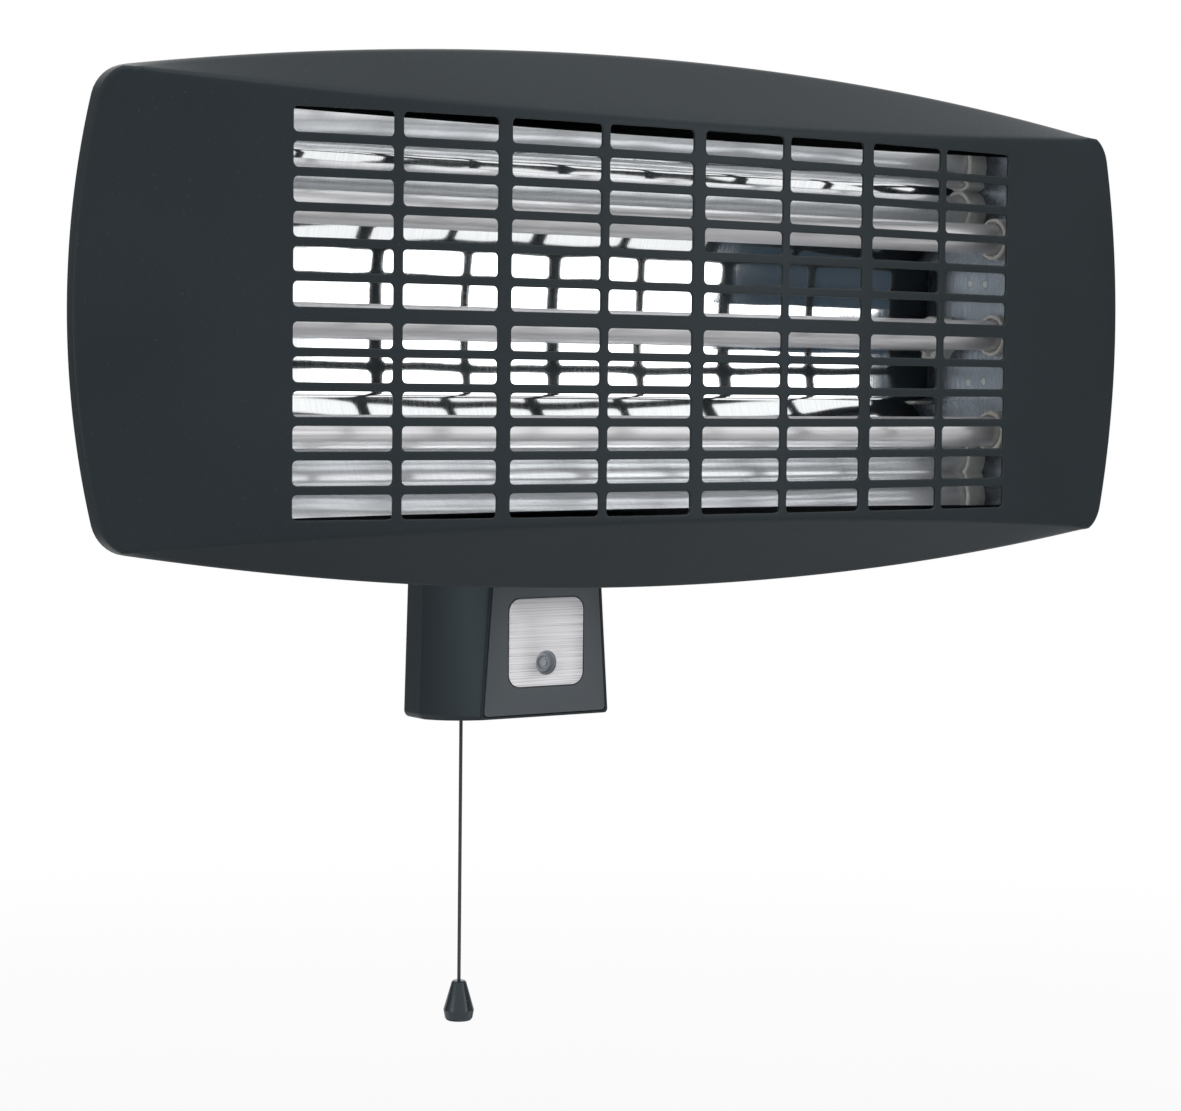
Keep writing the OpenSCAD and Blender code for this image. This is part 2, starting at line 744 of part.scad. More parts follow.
module return_spring() {
    color(steel) translate([switch_x, -cord_y, case_z0 + wall + 0.2]) difference() {
        cylinder(d = 5, h = slider_z0 - case_z0 - wall - 0.4);
        translate([0, 0, -1]) cylinder(d = 3.6, h = 20);
    }
}

module cord_bush() {
    color(black) translate([switch_x, -cord_y, box_low]) rotate_extrude() polygon([
        [cord_d / 2 + 0.8, 0], [2.9, 0], [2.9, shell_t + 0.2], [4, shell_t + 0.2], [4, shell_t + 1.4],
        [cord_d / 2 + 0.15, shell_t + 1.4], [cord_d / 2 + 0.15, 1]]);
}

// Pull cord: the free stretch hangs straight from the bush to the knob
module switch_cord() {
    color(black) translate([switch_x, -cord_y, box_low]) cylinder(d = cord_d, h = slider_z0 + 8 - box_low);
}

cord_drop = [-46.8, -52, -60, -68, -76, -84, -92, -100, -108, -116, -124, -132, -140, -147, -153.4];
cord_route = [for (z = cord_drop) [-22, -12, z]];
cord_rings = [for (i = [0 : len(cord_route) - 2], half = [0, 1])
    cord_route[i] + (cord_route[i + 1] - cord_route[i]) * half / 2];

module pull_cord() {
    color(black) swept_tube(concat(cord_rings, [cord_route[len(cord_route) - 1]]), cord_d / 2, 8);
}

module cord_knob() {
    color(black) translate([switch_x, -cord_y, knob_top]) rotate_extrude() polygon([
        [0, 0], [2.5, 0], [3, -0.5], [knob_d / 2 - 0.15, -knob_h + 4.4], [knob_d / 2, -knob_h + 3.8],
        [knob_d / 2 - 0.9, -knob_h + 0.5], [knob_d / 2 - 1.5, -knob_h], [0, -knob_h]]);
}

// Mains terminal block, cable clamp and the inlet bush in the floor of the box
module terminal_block() {
    color(white) difference() {
        translate([2, -19, 2]) cube([26, 16, 14]);
        for (x = [6.5, 15, 23.5]) {
            rod_y(-20, -10, 5, x, 9);
            translate([x, -8.5, 1]) cylinder(d = 4, h = 16);
        }
    }
}

module clamp_screws() {
    color(steel) for (x = [inlet_x - 7, inlet_x + 7]) {
        rod_y(-13, -11, 5, x, clamp_z);
        rod_y(-11, -3, 2.6, x, clamp_z);
    }
}

module cable_clamp() {
    color(black) difference() {
        translate([inlet_x - 10, -11, clamp_z - 3.5]) cube([20, 8, 7]);
        translate([inlet_x, inlet_y, clamp_z - 4]) cylinder(d = 2 * inlet_r + 0.4, h = 8);
        for (x = [inlet_x - 7, inlet_x + 7]) rod_y(-12, -2, 2.7, x, clamp_z);
    }
}

module cable_inlet() {
    color(black) translate([inlet_x, inlet_y, box_low]) difference() {
        cylinder(d = inlet_od, h = 5);
        translate([0, 0, -1]) cylinder(r = inlet_r, h = 7);
    }
}

module shell_screws() {
    color(steel) for (x = screw_x, z = screw_z) {
        rod_y(-1.8, -0.2, 5.4, x, z);
        rod_y(boss_y + 3, -1.8, 2.6, x, z);
    }
}

// Tilt joint: a fixed bolt, washers beside the lugs, and a clamp knob on the right
module pivot_bolt() {
    color(steel) {
        rod_x(-lug_x - lug_t - 3, -lug_x - lug_t, 10, -pivot_y, pivot_z);
        rod_x(-lug_x - lug_t, lug_x + lug_t + 9, pivot_d, -pivot_y, pivot_z);
    }
}

module washer(x0, x1) {
    difference() {
        rod_x(x0, x1, 13, -pivot_y, pivot_z);
        rod_x(x0 - 1, x1 + 1, pivot_d + 0.2, -pivot_y, pivot_z);
    }
}

module pivot_washers() {
    color(steel) {
        washer(ear_x + 0.1, lug_x - 0.1);
        washer(-lug_x + 0.1, -ear_x - 0.1);
        washer(lug_x + lug_t, lug_x + lug_t + 1.2);
    }
}

knob_lobes = [for (a = [0 : 7.5 : 352.5])
    [-pivot_y, pivot_z] + (10.4 + 1.2 * cos(6 * a)) * [cos(a), sin(a)]];

module clamp_knob() {
    x0 = lug_x + lug_t + 1.3;
    color(black) difference() {
        union() {
            rod_x(x0, x0 + 3.5, 12, -pivot_y, pivot_z);
            along_x(x0 + 3, x0 + 11) polygon(knob_lobes);
        }
        rod_x(x0 - 1, x0 + 8.6, 2 * bore_r, -pivot_y, pivot_z);
    }
}

front_cover();
rear_housing();
reflector();
left_end_plate();
right_end_plate();
top_quartz_tube();
middle_quartz_tube();
bottom_quartz_tube();
top_heating_coil();
middle_heating_coil();
bottom_heating_coil();
left_tube_caps();
right_tube_caps();
left_tube_pins();
right_tube_pins();
left_link_bar();
right_link_straps();
thermal_cutout();
cutout_bracket();
head_terminal_block();
cover_screws();
reflector_brackets();
end_plate_screws();
hinge_bracket();
bracket_screws();
head_grommet();
link_cable();
box_rear_shell();
box_front_shell();
front_panel();
metal_plate();
lamp_lens();
lamp_body();
switch_case();
switch_cover();
switch_contacts();
ratchet_wheel();
wheel_shaft();
switch_slider();
return_spring();
cord_bush();
switch_cord();
pull_cord();
cord_knob();
terminal_block();
cable_inlet();
cable_clamp();
clamp_screws();
box_grommet();
shell_screws();
pivot_bolt();
pivot_washers();
clamp_knob();
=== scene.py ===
"""Dresses a wall-mounted quartz heater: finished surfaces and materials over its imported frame."""
import json
import logging
import math
from dataclasses import dataclass
from enum import Enum
from typing import Sequence

import bmesh
import bpy
import numpy as np
from mathutils import Matrix, Vector
from mathutils.geometry import tessellate_polygon


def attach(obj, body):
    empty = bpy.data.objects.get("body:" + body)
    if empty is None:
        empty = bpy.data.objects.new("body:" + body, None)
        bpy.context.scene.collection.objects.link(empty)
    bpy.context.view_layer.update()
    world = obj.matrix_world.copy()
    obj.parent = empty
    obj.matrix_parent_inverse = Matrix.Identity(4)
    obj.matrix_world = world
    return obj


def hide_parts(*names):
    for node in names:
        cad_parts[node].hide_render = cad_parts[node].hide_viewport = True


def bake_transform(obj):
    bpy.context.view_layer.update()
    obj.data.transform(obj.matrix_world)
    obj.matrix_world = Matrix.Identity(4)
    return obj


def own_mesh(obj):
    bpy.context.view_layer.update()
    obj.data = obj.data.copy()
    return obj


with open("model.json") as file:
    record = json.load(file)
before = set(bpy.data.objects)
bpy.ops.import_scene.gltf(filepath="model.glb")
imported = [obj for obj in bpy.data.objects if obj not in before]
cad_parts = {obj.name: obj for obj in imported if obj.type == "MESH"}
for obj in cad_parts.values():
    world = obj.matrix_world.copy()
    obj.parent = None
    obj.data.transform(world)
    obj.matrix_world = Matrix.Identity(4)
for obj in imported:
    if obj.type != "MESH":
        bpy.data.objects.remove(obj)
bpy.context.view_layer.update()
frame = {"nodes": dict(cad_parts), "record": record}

LOG = logging.getLogger("heater")
MM = 0.001
Array = np.ndarray
Colour = tuple[float, float, float]
Piece, Material, Socket = bpy.types.Object, bpy.types.Material, bpy.types.NodeSocket


class Body(str, Enum):
    """Names of the bodies that pieces ride on."""

    BOX = "wall_box"
    HEAD = "head"
    CLAMP = "clamp_knob"
    CORD = "pull_cord"
    WHEEL = "ratchet_wheel"


class Axis(Enum):
    """Axis that a turned piece goes round."""

    X = 0
    Y = 1
    Z = 2


class Arc(Enum):
    """Arcs of the head's outline, from its right end up to its middle."""

    SIDE = 0
    CORNER = 1
    ARCH = 2


# Points, curves and meshes


def quads(rows: int, cols: int, wrap_rows: bool = False, wrap_cols: bool = False) -> Array:
    """Corner numbers of the four-sided faces between neighbours of a grid of points.

    Args:
        rows: Number of rows of points.
        cols: Number of points in a row.
        wrap_rows: Joins the last row to the first.
        wrap_cols: Joins the end of each row to its start.

    Returns:
        Whole numbers of shape (faces, 4).
    """
    r = np.arange(rows if wrap_rows else rows - 1)[:, None]
    c = np.arange(cols if wrap_cols else cols - 1)[None, :]
    r1, c1 = (r + 1) % rows, (c + 1) % cols
    return np.stack([r * cols + c, r * cols + c1, r1 * cols + c1, r1 * cols + c], axis=-1).reshape(-1, 4)


class Surface:
    """Gathers grids of points, in millimetres, and makes them one mesh."""

    def __init__(self) -> None:
        """Starts with no points."""
        self.points: list[Array] = []
        self.rubbing_and_highlight: list[Array] = []
        self.faces: list[list[int]] = []
        self.count = 0

    def grid(self, points: Array, wrap_rows: bool = False, wrap_cols: bool = False,
             rubbing_and_highlight: Array | float = 0.0) -> None:
        """Adds one grid, or several alike.

        Args:
            points: Shape (rows, cols, 3) or (grids, rows, cols, 3).
            wrap_rows: Joins the last row to the first.
            wrap_cols: Joins the end of each row to its start.
            rubbing_and_highlight: How much each point is lightened, from 0 to 1: rubbed paint plus a painted
                edge highlight.
        """
        many = points.reshape((-1,) + points.shape[-3:])
        grids, rows, cols = many.shape[:3]
        face = quads(rows, cols, wrap_rows, wrap_cols)[None] + np.arange(grids)[:, None, None] * rows * cols
        self.faces += (face.reshape(-1, 4) + self.count).tolist()
        self.points.append(many.reshape(-1, 3))
        self.rubbing_and_highlight.append(np.broadcast_to(rubbing_and_highlight, many.shape[:3]).reshape(-1))
        self.count += grids * rows * cols

    def cap(self, ring: Array) -> None:
        """Closes a ring of points with one flat face each to its middle.

        Args:
            ring: Shape (n, 3).
        """
        n = len(ring)
        self.grid(np.stack([ring, np.broadcast_to(ring.mean(0), (n, 3))]), wrap_cols=True)

    def sheet(self, loops: Sequence[Array]) -> None:
        """Adds a flat face within the first loop of points, with the other loops as holes."""
        points = np.concatenate(loops)
        for a, b, c in tessellate_polygon([[Vector(p) for p in loop] for loop in loops]):
            self.faces.append([a + self.count, b + self.count, c + self.count])
        self.points.append(points)
        self.rubbing_and_highlight.append(np.zeros(len(points)))
        self.count += len(points)

    def block(self, low: Sequence[float], high: Sequence[float]) -> None:
        """Adds a closed block between two corners: four walls round X and two ends."""
        (x0, y0, z0), (x1, y1, z1) = low, high
        ring = np.array([(y0, z0), (y1, z0), (y1, z1), (y0, z1)], float)
        rows = np.stack([np.column_stack([np.full(4, x), ring]) for x in (x0, x1)])
        self.grid(rows, wrap_cols=True)
        self.cap(rows[0])
        self.cap(rows[1])

    def make(self, name: str, sharp: float = 38.0) -> Piece:
        """Makes the mesh: equal points are merged, faces turned outwards and shaded smooth.

        Args:
            name: Name of the piece.
            sharp: Angle in degrees from which an edge stays sharp.

        Returns:
            The new object, at the origin.
        """
        mesh = bpy.data.meshes.new(name)
        mesh.from_pydata((np.concatenate(self.points) * MM).tolist(), [], self.faces)
        mesh.attributes.new("rubbing_and_highlight", "FLOAT", "POINT").data.foreach_set(
            "value", np.concatenate(self.rubbing_and_highlight).astype(np.float32))
        work = bmesh.new()
        work.from_mesh(mesh)
        bmesh.ops.remove_doubles(work, verts=work.verts, dist=2e-6)
        bmesh.ops.dissolve_degenerate(work, edges=work.edges, dist=1e-7)
        bmesh.ops.recalc_face_normals(work, faces=work.faces)
        work.to_mesh(mesh)
        work.free()
        mesh.shade_smooth()
        mesh.set_sharp_from_angle(angle=math.radians(sharp))
        piece = bpy.data.objects.new(name, mesh)
        bpy.context.scene.collection.objects.link(piece)
        return piece


def filleted(corners: Sequence[tuple[float, float, float]], steps: int = 5) -> Array:
    """A flat polyline with rounded corners: at each corner an arc touches both its legs.

    Args:
        corners: Each corner as (a, b, radius); a radius of 0 keeps it.
        steps: Pieces of each arc.

    Returns:
        Points of shape (n, 2).
    """
    points = np.array([c[:2] for c in corners], float)
    made: list[Array] = []
    for i, (_, _, radius) in enumerate(corners):
        here = points[i]
        if radius <= 0 or i in (0, len(corners) - 1):
            made.append(here[None])
            continue
        back, ahead = points[i - 1] - here, points[i + 1] - here
        back, ahead = back / np.linalg.norm(back), ahead / np.linalg.norm(ahead)
        half = math.acos(float(np.clip(back @ ahead, -1, 1))) / 2
        reach = radius / math.tan(half)
        middle = here + (back + ahead) / np.linalg.norm(back + ahead) * radius / math.sin(half)
        start, end = here + back * reach - middle, here + ahead * reach - middle
        t = np.linspace(0, 1, steps + 1)[:, None]
        turn = math.pi - 2 * half
        made.append(middle + (np.sin((1 - t) * turn) * start + np.sin(t * turn) * end) / math.sin(turn))
    return np.concatenate(made)


def turned(profile: Array, axis: Axis, centre: Sequence[float], steps: int = 48) -> Array:
    """A surface of revolution: every profile point goes round the axis at its own radius.

    Args:
        profile: Shape (n, 2), as (radius, distance along the axis).
        axis: Axis that it turns round.
        centre: A point on the axis.
        steps: Points round the axis.

    Returns:
        Grid of shape (n, steps, 3).
    """
    angle = np.linspace(0, 2 * math.pi, steps, endpoint=False)
    across, up = profile[:, :1] * np.cos(angle), profile[:, :1] * np.sin(angle)
    along = np.broadcast_to(profile[:, 1:], across.shape)
    order = {Axis.X: (along, across, up), Axis.Y: (across, along, up), Axis.Z: (across, up, along)}[axis]
    return np.stack(order, axis=-1) + np.array(centre, float)


def wrapped(rings: Array, wrap_rows: bool = False, caps: bool = False) -> Surface:
    """A surface of one grid, or several alike, whose rows are closed rings.

    Args:
        rings: Shape (rows, cols, 3) or (grids, rows, cols, 3).
        wrap_rows: Joins the last ring to the first.
        caps: Closes the first ring and the last with flat faces.

    Returns:
        The new surface.
    """
    surface = Surface()
    surface.grid(rings, wrap_rows, wrap_cols=True)
    if caps:
        surface.cap(rings[0])
        surface.cap(rings[-1])
    return surface


def tube_along(path: Array, radius: float, sides: int, across: Sequence[float]) -> Array:
    """A tube: circles square to a path that stays in one plane.

    Args:
        path: Shape (n, 3).
        radius: Radius of the circles.
        sides: Points in a circle.
        across: Direction square to the path's plane.

    Returns:
        Grid of shape (n, sides, 3).
    """
    ahead = np.gradient(path, axis=0)
    ahead /= np.linalg.norm(ahead, axis=1, keepdims=True)
    side = np.broadcast_to(np.array(across, float), path.shape)
    up = np.cross(ahead, side)
    angle = np.linspace(0, 2 * math.pi, sides, endpoint=False)[None, :, None]
    return path[:, None] + radius * (np.cos(angle) * side[:, None] + np.sin(angle) * up[:, None])


def trapezoid(low: float, high: float, z0: float, z1: float, radius: float, steps: int = 8,
              fill: int = 6) -> Array:
    """Outline of an upright trapezoid with round corners, anticlockwise from the right.

    Args:
        low: Width at the bottom.
        high: Width at the top.
        z0: Height of the bottom.
        z1: Height of the top.
        radius: Radius of the corners.
        steps: Pieces of each corner.
        fill: Extra points on each straight side.

    Returns:
        Points (x, z) of shape (n, 2).
    """
    lean = math.atan((low - high) / 2 / (z1 - z0))
    middles = [(high / 2, z1, -1, lean, math.pi / 2), (-high / 2, z1, 1, math.pi / 2, math.pi - lean),
               (-low / 2, z0, 1, math.pi - lean, 1.5 * math.pi),
               (low / 2, z0, -1, 1.5 * math.pi, 2 * math.pi + lean)]
    arcs = []
    for x, z, inward, a0, a1 in middles:
        a = np.linspace(a0, a1, steps + 1)
        cz = z + (-radius if z == z1 else radius)
        arcs.append(np.column_stack([x + inward * radius + radius * np.cos(a), cz + radius * np.sin(a)]))
    made = []
    for i, arc in enumerate(arcs):
        t = np.linspace(0, 1, fill + 2)[1:-1, None]
        made += [arc, arc[-1] + (arcs[(i + 1) % 4][0] - arc[-1]) * t]
    return np.concatenate(made)


def upright(outline: Array, y: float) -> Array:
    """An outline (x, z) placed at depth y, as points (x, y, z)."""
    return np.column_stack([outline[:, 0], np.full(len(outline), y), outline[:, 1]])


def toned(colour: Colour, factor: float) -> Colour:
    """A colour made darker or lighter, no channel above 1."""
    return tuple(min(1.0, factor * c) for c in colour)


# Finishes


class Shader:
    """A material's node tree, with short ways to add nodes and join them."""

    def __init__(self, name: str) -> None:
        """Makes the material with its one shader.

        Args:
            name: Name of the material.
        """
        self.material = bpy.data.materials.new(name)
        self.material.use_nodes = True
        self.tree = self.material.node_tree
        self.main = self.tree.nodes["Principled BSDF"]

    def put(self, socket: Socket, value: object) -> None:
        """Joins an input to a socket, or else sets its value; a colour gains an alpha of 1."""
        if isinstance(value, Socket):
            self.tree.links.new(value, socket)
        else:
            socket.default_value = (*value, 1.0) if socket.type == "RGBA" else value

    def add(self, kind: str, inputs: dict[str | int, object] | None = None,
            **settings: object) -> bpy.types.Node:
        """Adds a node.

        Args:
            kind: Type of node.
            inputs: Values or sockets for its inputs, by name or number.
            settings: Its own properties.

        Returns:
            The node.
        """
        node = self.tree.nodes.new(kind)
        for key, value in settings.items():
            setattr(node, key, value)
        for key, value in (inputs or {}).items():
            self.put(node.inputs[key], value)
        return node

    def place(self, stretch: Sequence[float] = (1, 1, 1), turn: Sequence[float] = (0, 0, 0)) -> Socket:
        """Object coordinates, stretched and turned."""
        where = self.add("ShaderNodeTexCoord").outputs["Object"]
        return self.add("ShaderNodeMapping", {"Vector": where, "Scale": tuple(stretch),
                                              "Rotation": tuple(turn)}).outputs["Vector"]

    def noise(self, scale: float, detail: float = 2.0, stretch: Sequence[float] = (1, 1, 1),
              turn: Sequence[float] = (0, 0, 0)) -> Socket:
        """Soft noise of about 1/scale metres, as a value from 0 to 1."""
        return self.add("ShaderNodeTexNoise", {"Vector": self.place(stretch, turn), "Scale": scale,
                                               "Detail": detail}).outputs["Fac"]

    def attribute(self, name: str) -> Socket:
        """A value stored on the piece's points."""
        return self.add("ShaderNodeAttribute", attribute_name=name).outputs["Fac"]

    def ramp(self, value: Socket, stops: Sequence[tuple[float, Colour | float]]) -> Socket:
        """Colours or greys along a value.

        Args:
            value: Socket from 0 to 1.
            stops: Each place with its colour or grey.

        Returns:
            Colour socket.
        """
        node = self.add("ShaderNodeValToRGB", {"Fac": value})
        elements = node.color_ramp.elements
        while len(elements) < len(stops):
            elements.new(0.5)
        for element, (at, colour) in zip(elements, stops):
            element.position = at
            tone = (colour,) * 3 if isinstance(colour, (int, float)) else colour
            element.color = (*tone, 1.0)
        return node.outputs["Color"]

    def mix(self, share: Socket | float, first: object, second: object,
            blend: str = "MIX") -> Socket:
        """Mixes two colours by a share."""
        node = self.add("ShaderNodeMix", {0: share, 6: first, 7: second}, data_type="RGBA", blend_type=blend)
        return node.outputs[2]

    def math(self, operation: str, first: object, second: object) -> Socket:
        """Sum, product or other operation on two values."""
        return self.add("ShaderNodeMath", {0: first, 1: second}, operation=operation).outputs[0]

    def bump(self, height: Socket, depth: float, strength: float = 1.0,
             under: Socket | None = None) -> Socket:
        """A relief of that depth in metres, over another one if given."""
        inputs: dict[str | int, object] = {"Height": height, "Distance": depth, "Strength": strength}
        if under is not None:
            inputs["Normal"] = under
        return self.add("ShaderNodeBump", inputs).outputs["Normal"]

    def finish(self, inputs: dict[str, object]) -> Material:
        """Sets or joins the main shader's inputs, and gives back the material."""
        for key, value in inputs.items():
            self.put(self.main.inputs[key], value)
        return self.material


@dataclass(frozen=True)
class Coated:
    """Powder coat or moulded plastic: a fine grain, faint cloudiness, and lighter edges, partly rubbed paint
    and partly a painted edge highlight.
    """

    name: str
    colour: Colour
    rough: float = 0.45
    specular: float = 0.3
    grain: float = 1500.0
    grain_depth: float = 0.00002
    cloud: float = 0.12
    rubbing_and_highlight_colour: Colour = (0.2, 0.19, 0.17)
    dust: float = 0.0
    tint: Colour = (0.82, 0.96, 1.0)

    def material(self) -> Material:
        """Colour clouded by soft noise, lighter on marked edges (rubbed paint plus a painted edge highlight);
        relief and gloss from a fine noise.
        """
        s = Shader(self.name)
        dark, light = toned(self.colour, 1 - self.cloud), toned(self.colour, 1 + self.cloud)
        tone = s.ramp(s.noise(9.0, 3.0), [(0.3, dark), (0.7, light)])
        if self.dust:
            specks = s.ramp(s.noise(900.0, 4.0), [(0.66, 0.0), (0.74, self.dust)])
            tone = s.mix(specks, tone, toned(self.colour, 3.2))
            hairs = s.ramp(s.noise(260.0, 3.0, (1.0, 1.0, 14.0), (0.0, 0.6, 0.0)),
                           [(0.7, 0.0), (0.76, 0.5 * self.dust)])
            tone = s.mix(hairs, tone, toned(self.colour, 2.4))
        patches = s.ramp(s.noise(300.0, 3.0), [(0.25, 0.25), (0.65, 0.8)])
        # Lightens marked edges towards a paler colour: partly rubbed paint, partly a painted edge highlight.
        tone = s.mix(s.math("MULTIPLY", s.attribute("rubbing_and_highlight"), patches), tone, self.rubbing_and_highlight_colour)
        fine = s.noise(self.grain, 3.0)
        gloss = s.ramp(fine, [(0.3, self.rough - 0.05), (0.7, self.rough + 0.06)])
        return s.finish({"Base Color": tone, "Roughness": gloss, "Specular IOR Level": self.specular,
                         "Specular Tint": self.tint, "Normal": s.bump(fine, self.grain_depth)})


@dataclass(frozen=True)
class Brushed:
    """Brushed or drawn metal: long fine lines in one direction."""

    name: str
    colour: Colour
    rough: float = 0.3
    lines: tuple[float, float, float] = (1.0, 60.0, 60.0)
    scale: float = 60.0
    contrast: float = 0.2
    depth: float = 0.00001
    waves: float = 0.0
    tarnish: float = 0.1

    def material(self) -> Material:
        """Metal whose colour, gloss and relief follow noise stretched along the lines."""
        s = Shader(self.name)
        line = s.noise(self.scale, 4.0, self.lines)
        dark, light = toned(self.colour, 1 - self.contrast), toned(self.colour, 1 + 0.5 * self.contrast)
        tone = s.ramp(line, [(0.32, dark), (0.62, light)])
        stain = s.ramp(s.noise(24.0, 4.0), [(0.35, 1 - self.tarnish), (0.65, 1.0)])
        tone = s.mix(1.0, tone, stain, "MULTIPLY")
        gloss = s.ramp(line, [(0.3, self.rough * 0.8), (0.7, self.rough * 1.25)])
        relief = s.bump(line, self.depth)
        if self.waves:
            relief = s.bump(s.noise(16.0, 1.0, (0.6, 1.0, 1.4)), self.waves, under=relief)
        return s.finish({"Base Color": tone, "Metallic": 1.0, "Roughness": gloss, "Normal": relief})


@dataclass(frozen=True)
class Glazed:
    """Hard pale stuff, ceramic or white plastic: faint mottling under an even gloss."""

    name: str
    colour: Colour
    rough: float = 0.3
    coat: float = 0.0
    mottle: float = 0.08
    size: float = 120.0

    def material(self) -> Material:
        """Colour mottled by two noises, with a shallow soft relief."""
        s = Shader(self.name)
        mottle = s.noise(self.size, 5.0)
        tone = s.ramp(mottle, [(0.3, toned(self.colour, 1 - self.mottle)), (0.62, self.colour)])
        gloss = s.ramp(s.noise(self.size * 3, 2.0), [(0.3, self.rough * 0.85), (0.7, self.rough * 1.2)])
        return s.finish({"Base Color": tone, "Roughness": gloss, "Coat Weight": self.coat,
                         "Coat Roughness": 0.1, "Normal": s.bump(mottle, 0.00002)})


@dataclass(frozen=True)
class MilkyQuartz:
    """Satin quartz, half silvered: it mirrors soft pale surroundings, with faint streaks along X."""

    name: str = "milky quartz"
    colour: Colour = (0.93, 0.92, 0.94)
    rough: float = 0.34
    metal: float = 0.55

    def material(self) -> Material:
        """Streaks drawn along the tube in colour and gloss, and soft clouds in colour and relief."""
        s = Shader(self.name)
        streak = s.noise(220.0, 4.0, (0.02, 1.0, 1.0))
        cloud = s.noise(34.0, 2.0)
        tone = s.mix(0.5, s.ramp(streak, [(0.3, toned(self.colour, 0.93)), (0.7, self.colour)]),
                     s.ramp(cloud, [(0.3, toned(self.colour, 0.84)), (0.7, self.colour)]))
        gloss = s.ramp(streak, [(0.3, self.rough * 0.9), (0.7, self.rough * 1.15)])
        return s.finish({"Base Color": tone, "Metallic": self.metal, "Roughness": gloss,
                         "Normal": s.bump(cloud, 0.00002)})


@dataclass(frozen=True)
class Braided:
    """Braided cord: two sets of strands wound opposite ways."""

    name: str = "braided cord"
    colour: Colour = (0.03, 0.038, 0.042)

    def material(self) -> Material:
        """Strands from two slanted waves over the tube's own turn and length."""
        s = Shader(self.name)
        where = s.add("ShaderNodeUVMap", uv_map="strand").outputs["UV"]
        waves = []
        for slant in (1.0, -1.0):
            lean = s.add("ShaderNodeMapping", {"Vector": where, "Rotation": (0, 0, 0.6 * slant)})
            wave = s.add("ShaderNodeTexWave", {"Vector": lean.outputs["Vector"], "Scale": 1.0})
            waves.append(wave.outputs["Fac"])
        weave = s.math("MAXIMUM", waves[0], waves[1])
        tone = s.ramp(weave, [(0.2, toned(self.colour, 0.5)), (0.9, toned(self.colour, 1.5))])
        return s.finish({"Base Color": tone, "Roughness": 0.65, "Sheen Weight": 0.25,
                         "Normal": s.bump(weave, 0.00008)})


